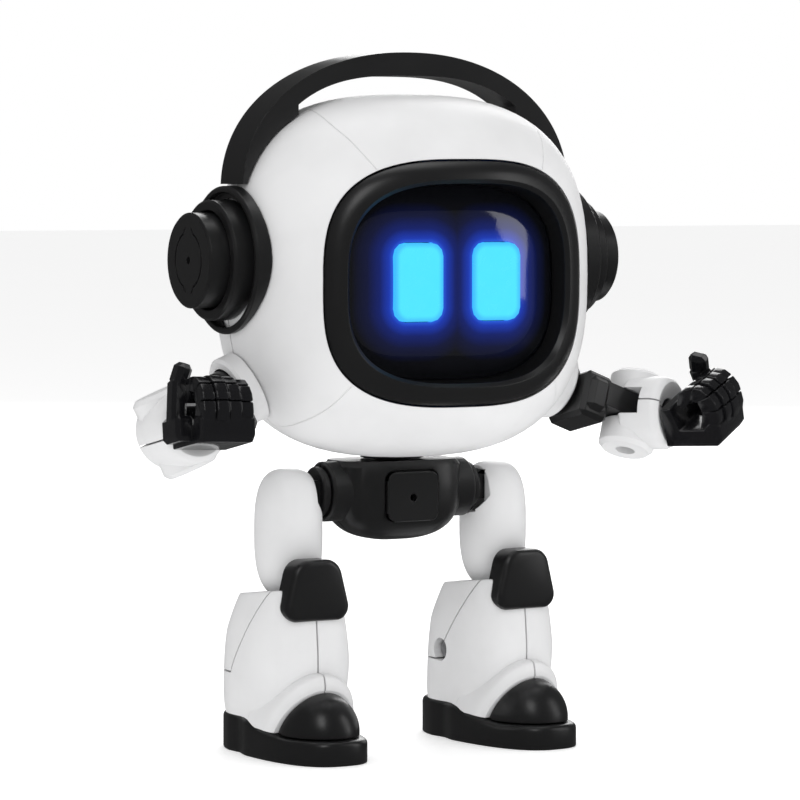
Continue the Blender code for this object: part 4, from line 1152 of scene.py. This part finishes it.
class Shader:
    """Small helper that builds a node material."""

    def __init__(self, name):
        self.material = bpy.data.materials.new(name)
        self.material.use_nodes = True
        self.nodes = self.material.node_tree.nodes
        self.links = self.material.node_tree.links
        self.surface = self.nodes["Principled BSDF"]
        self.place = self.nodes.new("ShaderNodeTexCoord").outputs["Object"]

    def node(self, kind, settings=None, **inputs):
        """Add a node, set its properties, and set or link its inputs."""
        made = self.nodes.new("ShaderNode" + kind)
        for key, value in (settings or {}).items():
            setattr(made, key, value)
        for key, value in inputs.items():
            self.feed(made, key, value)
        return made

    def feed(self, made, key, value):
        """Link or set one input, named or numbered like i0."""
        socket = made.inputs[int(key[1:])] if key[0] == "i" and key[1:].isdigit() else made.inputs[key]
        if isinstance(value, bpy.types.NodeSocket):
            self.links.new(value, socket)
        else:
            socket.default_value = value

    def noise(self, scale, detail=3.0, roughness=0.55):
        """Noise over the piece's own surface."""
        made = self.node("TexNoise", Vector=self.place, Scale=scale, Detail=detail, Roughness=roughness)
        return made.outputs["Fac"]

    def remap(self, value, low, high, to_low, to_high, smooth=False):
        """Stretch a value from one range to another."""
        kind = {"interpolation_type": "SMOOTHSTEP"} if smooth else {}
        made = self.node("MapRange", kind, Value=value)
        for index, number in enumerate((low, high, to_low, to_high)):
            made.inputs[1 + index].default_value = number
        return made.outputs[0]

    def math(self, operation, *values):
        """One arithmetic step."""
        made = self.node("Math", {"operation": operation})
        for index, value in enumerate(values):
            self.feed(made, "i" + str(index), value)
        return made.outputs[0]

    def mix(self, factor, first, second):
        """Blend two colours."""
        made = self.node("Mix", {"data_type": "RGBA"}, i0=factor)
        self.feed(made, "i6", first)
        self.feed(made, "i7", second)
        return made.outputs[2]

    def edges(self, radius):
        """Rounded normal near edges, and how worn an edge is."""
        bevel = self.node("Bevel", {"samples": 4})
        bevel.inputs["Radius"].default_value = radius * MM
        flat = self.node("NewGeometry").outputs["Normal"]
        aligned = self.node("VectorMath", {"operation": "DOT_PRODUCT"}, i0=bevel.outputs[0], i1=flat)
        worn = self.remap(aligned.outputs["Value"], 0.98, 0.8, 0.0, 1.0)
        return bevel.outputs[0], worn


def plastic(name, colour, roughness, grain, radius, wear, specular=0.5):
    """Moulded plastic: fine texture, faint mottling, dust and rubbed edges."""
    made = Shader(name)
    normal, worn = made.edges(radius)
    cloud = made.noise(55.0, 4.0)
    speck = made.noise(900.0, 2.0, 0.7)
    pores = made.noise(grain, 2.0, 0.6)
    scuff = made.remap(made.noise(160.0, 6.0, 0.75), 0.58, 0.74, 0.0, 1.0)
    shade = [channel * 0.93 for channel in colour]
    tint = made.mix(made.remap(cloud, 0.35, 0.65, 0.0, 1.0), (*shade, 1.0), (*colour, 1.0))
    rubbed = made.math("MULTIPLY", worn, made.remap(speck, 0.4, 0.62, 0.15, 1.0))
    edge = [min(channel + wear, 1.0) for channel in colour]
    tint = made.mix(made.math("MULTIPLY", rubbed, 0.55), tint, (*edge, 1.0))
    made.feed(made.surface, "Base Color", tint)
    varied = made.remap(cloud, 0.3, 0.7, roughness - 0.035, roughness + 0.035)
    varied = made.math("ADD", varied, made.math("MULTIPLY", scuff, 0.05))
    varied = made.math("SUBTRACT", varied, made.math("MULTIPLY", worn, 0.06))
    made.feed(made.surface, "Roughness", varied)
    bump = made.node("Bump", Height=pores, Normal=normal, Strength=0.16, Distance=0.00004)
    made.feed(made.surface, "Normal", bump.outputs[0])
    made.surface.inputs["Specular IOR Level"].default_value = specular
    return made


def eye_distance(made):
    """Distance in metres from the nearest eye's outline, over the face."""
    split = made.node("SeparateXYZ", Vector=made.place)
    across = made.math("ABSOLUTE", made.math("SUBTRACT", split.outputs[0], FRAME_SHIFT[0] * MM))
    across = made.math("ABSOLUTE", made.math("SUBTRACT", across, EYE_X * MM))
    up = made.math("ABSOLUTE", made.math("SUBTRACT", split.outputs[2], EYE_Z * MM))
    beyond_x = made.math("MAXIMUM", made.math("SUBTRACT", across, (EYE_HALF_X - EYE_CORNER) * MM), 0.0)
    beyond_z = made.math("MAXIMUM", made.math("SUBTRACT", up, (EYE_HALF_Z - EYE_CORNER) * MM), 0.0)
    square = made.math("ADD", made.math("POWER", beyond_x, 2.0), made.math("POWER", beyond_z, 2.0))
    return made.math("SUBTRACT", made.math("SQRT", square), EYE_CORNER * MM)


GLOW_REACH = 7.2
GLOW_NEAR = (0.02, 0.11, 0.75)
GLOW_STEPS = ((0.12, (0.006, 0.035, 0.42)), (0.35, (0.001, 0.009, 0.13)), (0.65, (0.0, 0.002, 0.03)))
EYE_CORNER = 2.6


def smoked_lens():
    """Near-black acrylic, with the blue glow that the eyes spread behind it painted on as emission."""
    made = plastic("lens_finish", (0.006, 0.0065, 0.009), 0.07, 2500.0, 0.15, 0.01)
    away = eye_distance(made)
    # Painted glow: the lens emits blue light that fades with distance from the eyes' outlines
    ramp = made.node("ValToRGB", Fac=made.remap(away, 0.0, GLOW_REACH * MM, 0.0, 1.0))
    stops = ramp.color_ramp.elements
    stops[0].color, stops[1].color = (*GLOW_NEAR, 1.0), (0.0, 0.0, 0.0, 1.0)
    for place, colour in GLOW_STEPS:
        stops.new(place).color = (*colour, 1.0)
    made.feed(made.surface, "Emission Color", ramp.outputs[0])
    made.surface.inputs["Emission Strength"].default_value = 1.0
    made.surface.inputs["Coat Weight"].default_value = 0.3
    made.surface.inputs["Coat Roughness"].default_value = 0.03
    return made


def eye_light():
    """Lit cyan window, a little deeper in colour at its edge."""
    made = Shader("eye_finish")
    inside = made.remap(eye_distance(made), -0.0011, 0.0, 0.0, 1.0, smooth=True)
    patchy = made.remap(made.noise(420.0, 2.0), 0.3, 0.7, 0.0, 0.12)
    core = made.mix(patchy, (0.075, 0.76, 0.93, 1.0), (0.055, 0.64, 0.92, 1.0))
    made.feed(made.surface, "Emission Color", made.mix(inside, core, (0.05, 0.5, 0.95, 1.0)))
    made.surface.inputs["Emission Strength"].default_value = 1.0
    made.surface.inputs["Base Color"].default_value = (0.01, 0.05, 0.07, 1.0)
    made.feed(made.surface, "Roughness", made.remap(made.noise(700.0), 0.3, 0.7, 0.18, 0.3))
    return made


def circuit_board():
    """Solder mask over copper tracks."""
    made = plastic("board_finish", (0.01, 0.11, 0.045), 0.4, 3000.0, 0.05, 0.05)
    tracks = made.node("TexVoronoi", {"feature": "DISTANCE_TO_EDGE"}, Vector=made.place, Scale=520.0)
    line = made.remap(tracks.outputs[0], 0.05, 0.08, 1.0, 0.0)
    green = made.mix(line, (0.01, 0.11, 0.045, 1.0), (0.03, 0.22, 0.09, 1.0))
    made.feed(made.surface, "Base Color", green)
    return made


def steel(name, colour, roughness):
    """Turned steel with fine scratches and stains."""
    made = plastic(name, colour, roughness, 6000.0, 0.08, 0.1)
    made.surface.inputs["Metallic"].default_value = 1.0
    brushed = made.node("Mapping", Vector=made.place)
    brushed.inputs["Scale"].default_value = (1.0, 14.0, 14.0)
    lines = made.node("TexNoise", Vector=brushed.outputs[0], Scale=400.0, Detail=5.0)
    gloss = made.remap(lines.outputs[0], 0.3, 0.7, roughness - 0.1, roughness + 0.12)
    made.feed(made.surface, "Roughness", gloss)
    return made


GLOSS_BLACK = (0.006, 0.006, 0.007)


def make_finishes():
    """One material for each slot of the record."""
    made = {
        "white_shell": plastic("white_abs", (0.78, 0.78, 0.785), 0.42, 2600.0, 0.22, 0.06),
        "black_satin": plastic("black_abs", (0.009, 0.009, 0.0095), 0.33, 2300.0, 0.25, 0.03, 0.5),
        "black_gloss": plastic("black_gloss_abs", GLOSS_BLACK, 0.13, 1200.0, 0.22, 0.03, 0.6),
        "smoked_lens": smoked_lens(),
        "eye_light": eye_light(),
        "circuit_board": circuit_board(),
        "cell_steel": steel("cell_nickel", (0.62, 0.62, 0.6), 0.28),
        "screw_steel": steel("screw_steel", (0.36, 0.36, 0.37), 0.34),
    }
    return {slot: finish.material for slot, finish in made.items()}


# ---- finishing


def settle(finishes):
    """Turn every worked piece into a plain mesh that rides on its CAD body."""
    bpy.context.view_layer.update()
    graph = bpy.context.evaluated_depsgraph_get()
    workers = [obj for obj in bpy.context.scene.objects if "side" in obj]
    made = []
    for raw, node, slot in SKINS:
        worked = raw.evaluated_get(graph)
        data = bpy.data.meshes.new_from_object(worked)
        data.transform(raw.matrix_world)
        data.materials.clear()
        data.materials.append(finishes[slot])
        data.polygons.foreach_set("material_index", [0] * len(data.polygons))
        made.append((data, node, slot))
    for obj in workers:
        bpy.data.objects.remove(obj)
    for data, node, slot in made:
        tidy_mesh(data)
        piece = bpy.data.objects.new(node + "_skin", data)
        bpy.context.scene.collection.objects.link(piece)
        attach(piece, frame["nodes"][node]["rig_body"])
        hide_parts(node)


def tidy_mesh(data):
    """Merge doubled corners and shade the surface smoothly up to its edges."""
    bm = bmesh.new()
    bm.from_mesh(data)
    bmesh.ops.remove_doubles(bm, verts=bm.verts, dist=0.002 * MM)
    bmesh.ops.dissolve_degenerate(bm, edges=bm.edges, dist=0.001 * MM)
    bm.to_mesh(data)
    bm.free()
    data.shade_smooth()
    data.set_sharp_from_angle(angle=radians(30.0))


def dress_frame(finishes):
    """Give the CAD nodes that stay in view their material."""
    slots = {row["node"]: row["material_slot"] for row in frame["record"]["subparts"]}
    for name, obj in frame["nodes"].items():
        if obj.hide_render:
            continue
        obj.data.materials.clear()
        obj.data.materials.append(finishes[slots[name]])
        obj.data.shade_smooth()
        obj.data.set_sharp_from_angle(angle=radians(35.0))


# ---- stage

def make_camera():
    """Camera at the viewing angle, three quarters from the robot's right."""
    data = bpy.data.cameras.new("camera")
    data.lens = LENS_MM
    data.sensor_width = 36.0
    data.clip_start = 0.01
    data.clip_end = 20.0
    obj = bpy.data.objects.new("camera", data)
    bpy.context.scene.collection.objects.link(obj)
    shift = Vector((FRAME_SHIFT[0], FRAME_SHIFT[1], 0.0))
    obj.location = (Vector(LOOK_FROM) + shift) * MM
    flat = cos(LOOK_PITCH)
    look = Vector((sin(LOOK_AZIMUTH) * flat, cos(LOOK_AZIMUTH) * flat, -sin(LOOK_PITCH)))
    obj.rotation_euler = look.to_track_quat("-Z", "Y").to_euler()
    bpy.context.scene.camera = obj


def softbox(name, place, size, energy):
    """A rectangular area light that faces the robot."""
    data = bpy.data.lights.new(name, "AREA")
    data.shape = "RECTANGLE"
    data.size, data.size_y = size
    data.energy = energy
    obj = bpy.data.objects.new(name, data)
    bpy.context.scene.collection.objects.link(obj)
    obj.location = place
    obj.rotation_euler = (Vector(LIT_POINT) - Vector(place)).to_track_quat("-Z", "Y").to_euler()


def make_stage():
    """Pale floor, pale surroundings and soft studio lights."""
    data = bpy.data.meshes.new("floor")
    corners = [(x * FLOOR_HALF, y * FLOOR_HALF, 0.0) for x, y in ((-1, -1), (1, -1), (1, 1), (-1, 1))]
    data.from_pydata(corners, [], [(0, 1, 2, 3)])
    floor = bpy.data.objects.new("floor", data)
    bpy.context.scene.collection.objects.link(floor)
    paper = Shader("floor_paper")
    pale = paper.mix(paper.noise(3.0), (0.96, 0.96, 0.96, 1.0), (0.98, 0.98, 0.98, 1.0))
    paper.feed(paper.surface, "Base Color", pale)
    paper.surface.inputs["Roughness"].default_value = 0.9
    paper.surface.inputs["Emission Color"].default_value = (1.0, 1.0, 1.0, 1.0)
    paper.surface.inputs["Emission Strength"].default_value = 0.3
    paper.surface.inputs["Specular IOR Level"].default_value = 0.1
    data.materials.append(paper.material)
    floor.visible_glossy = False
    for box_light in SOFTBOXES:
        softbox(*box_light)
    make_sky()


def make_sky():
    """White surroundings that reflect more dimly than they light."""
    world = bpy.data.worlds.new("surroundings")
    world.use_nodes = True
    nodes, links = world.node_tree.nodes, world.node_tree.links
    back = nodes["Background"]
    path = nodes.new("ShaderNodeLightPath")
    shine = nodes.new("ShaderNodeMapRange")
    seen = nodes.new("ShaderNodeMapRange")
    shine.inputs[3].default_value = SKY_LIGHT
    shine.inputs[4].default_value = SKY_SHINE
    seen.inputs[4].default_value = SKY_SEEN
    links.new(path.outputs["Is Glossy Ray"], shine.inputs[0])
    links.new(shine.outputs[0], seen.inputs[3])
    links.new(path.outputs["Is Camera Ray"], seen.inputs[0])
    links.new(seen.outputs[0], back.inputs["Strength"])
    back.inputs["Color"].default_value = (1.0, 1.0, 1.0, 1.0)
    bpy.context.scene.world = world
    bpy.context.scene.view_settings.view_transform = "Standard"


make_robot()
FINISHES = make_finishes()
settle(FINISHES)
dress_frame(FINISHES)
make_camera()
make_stage()
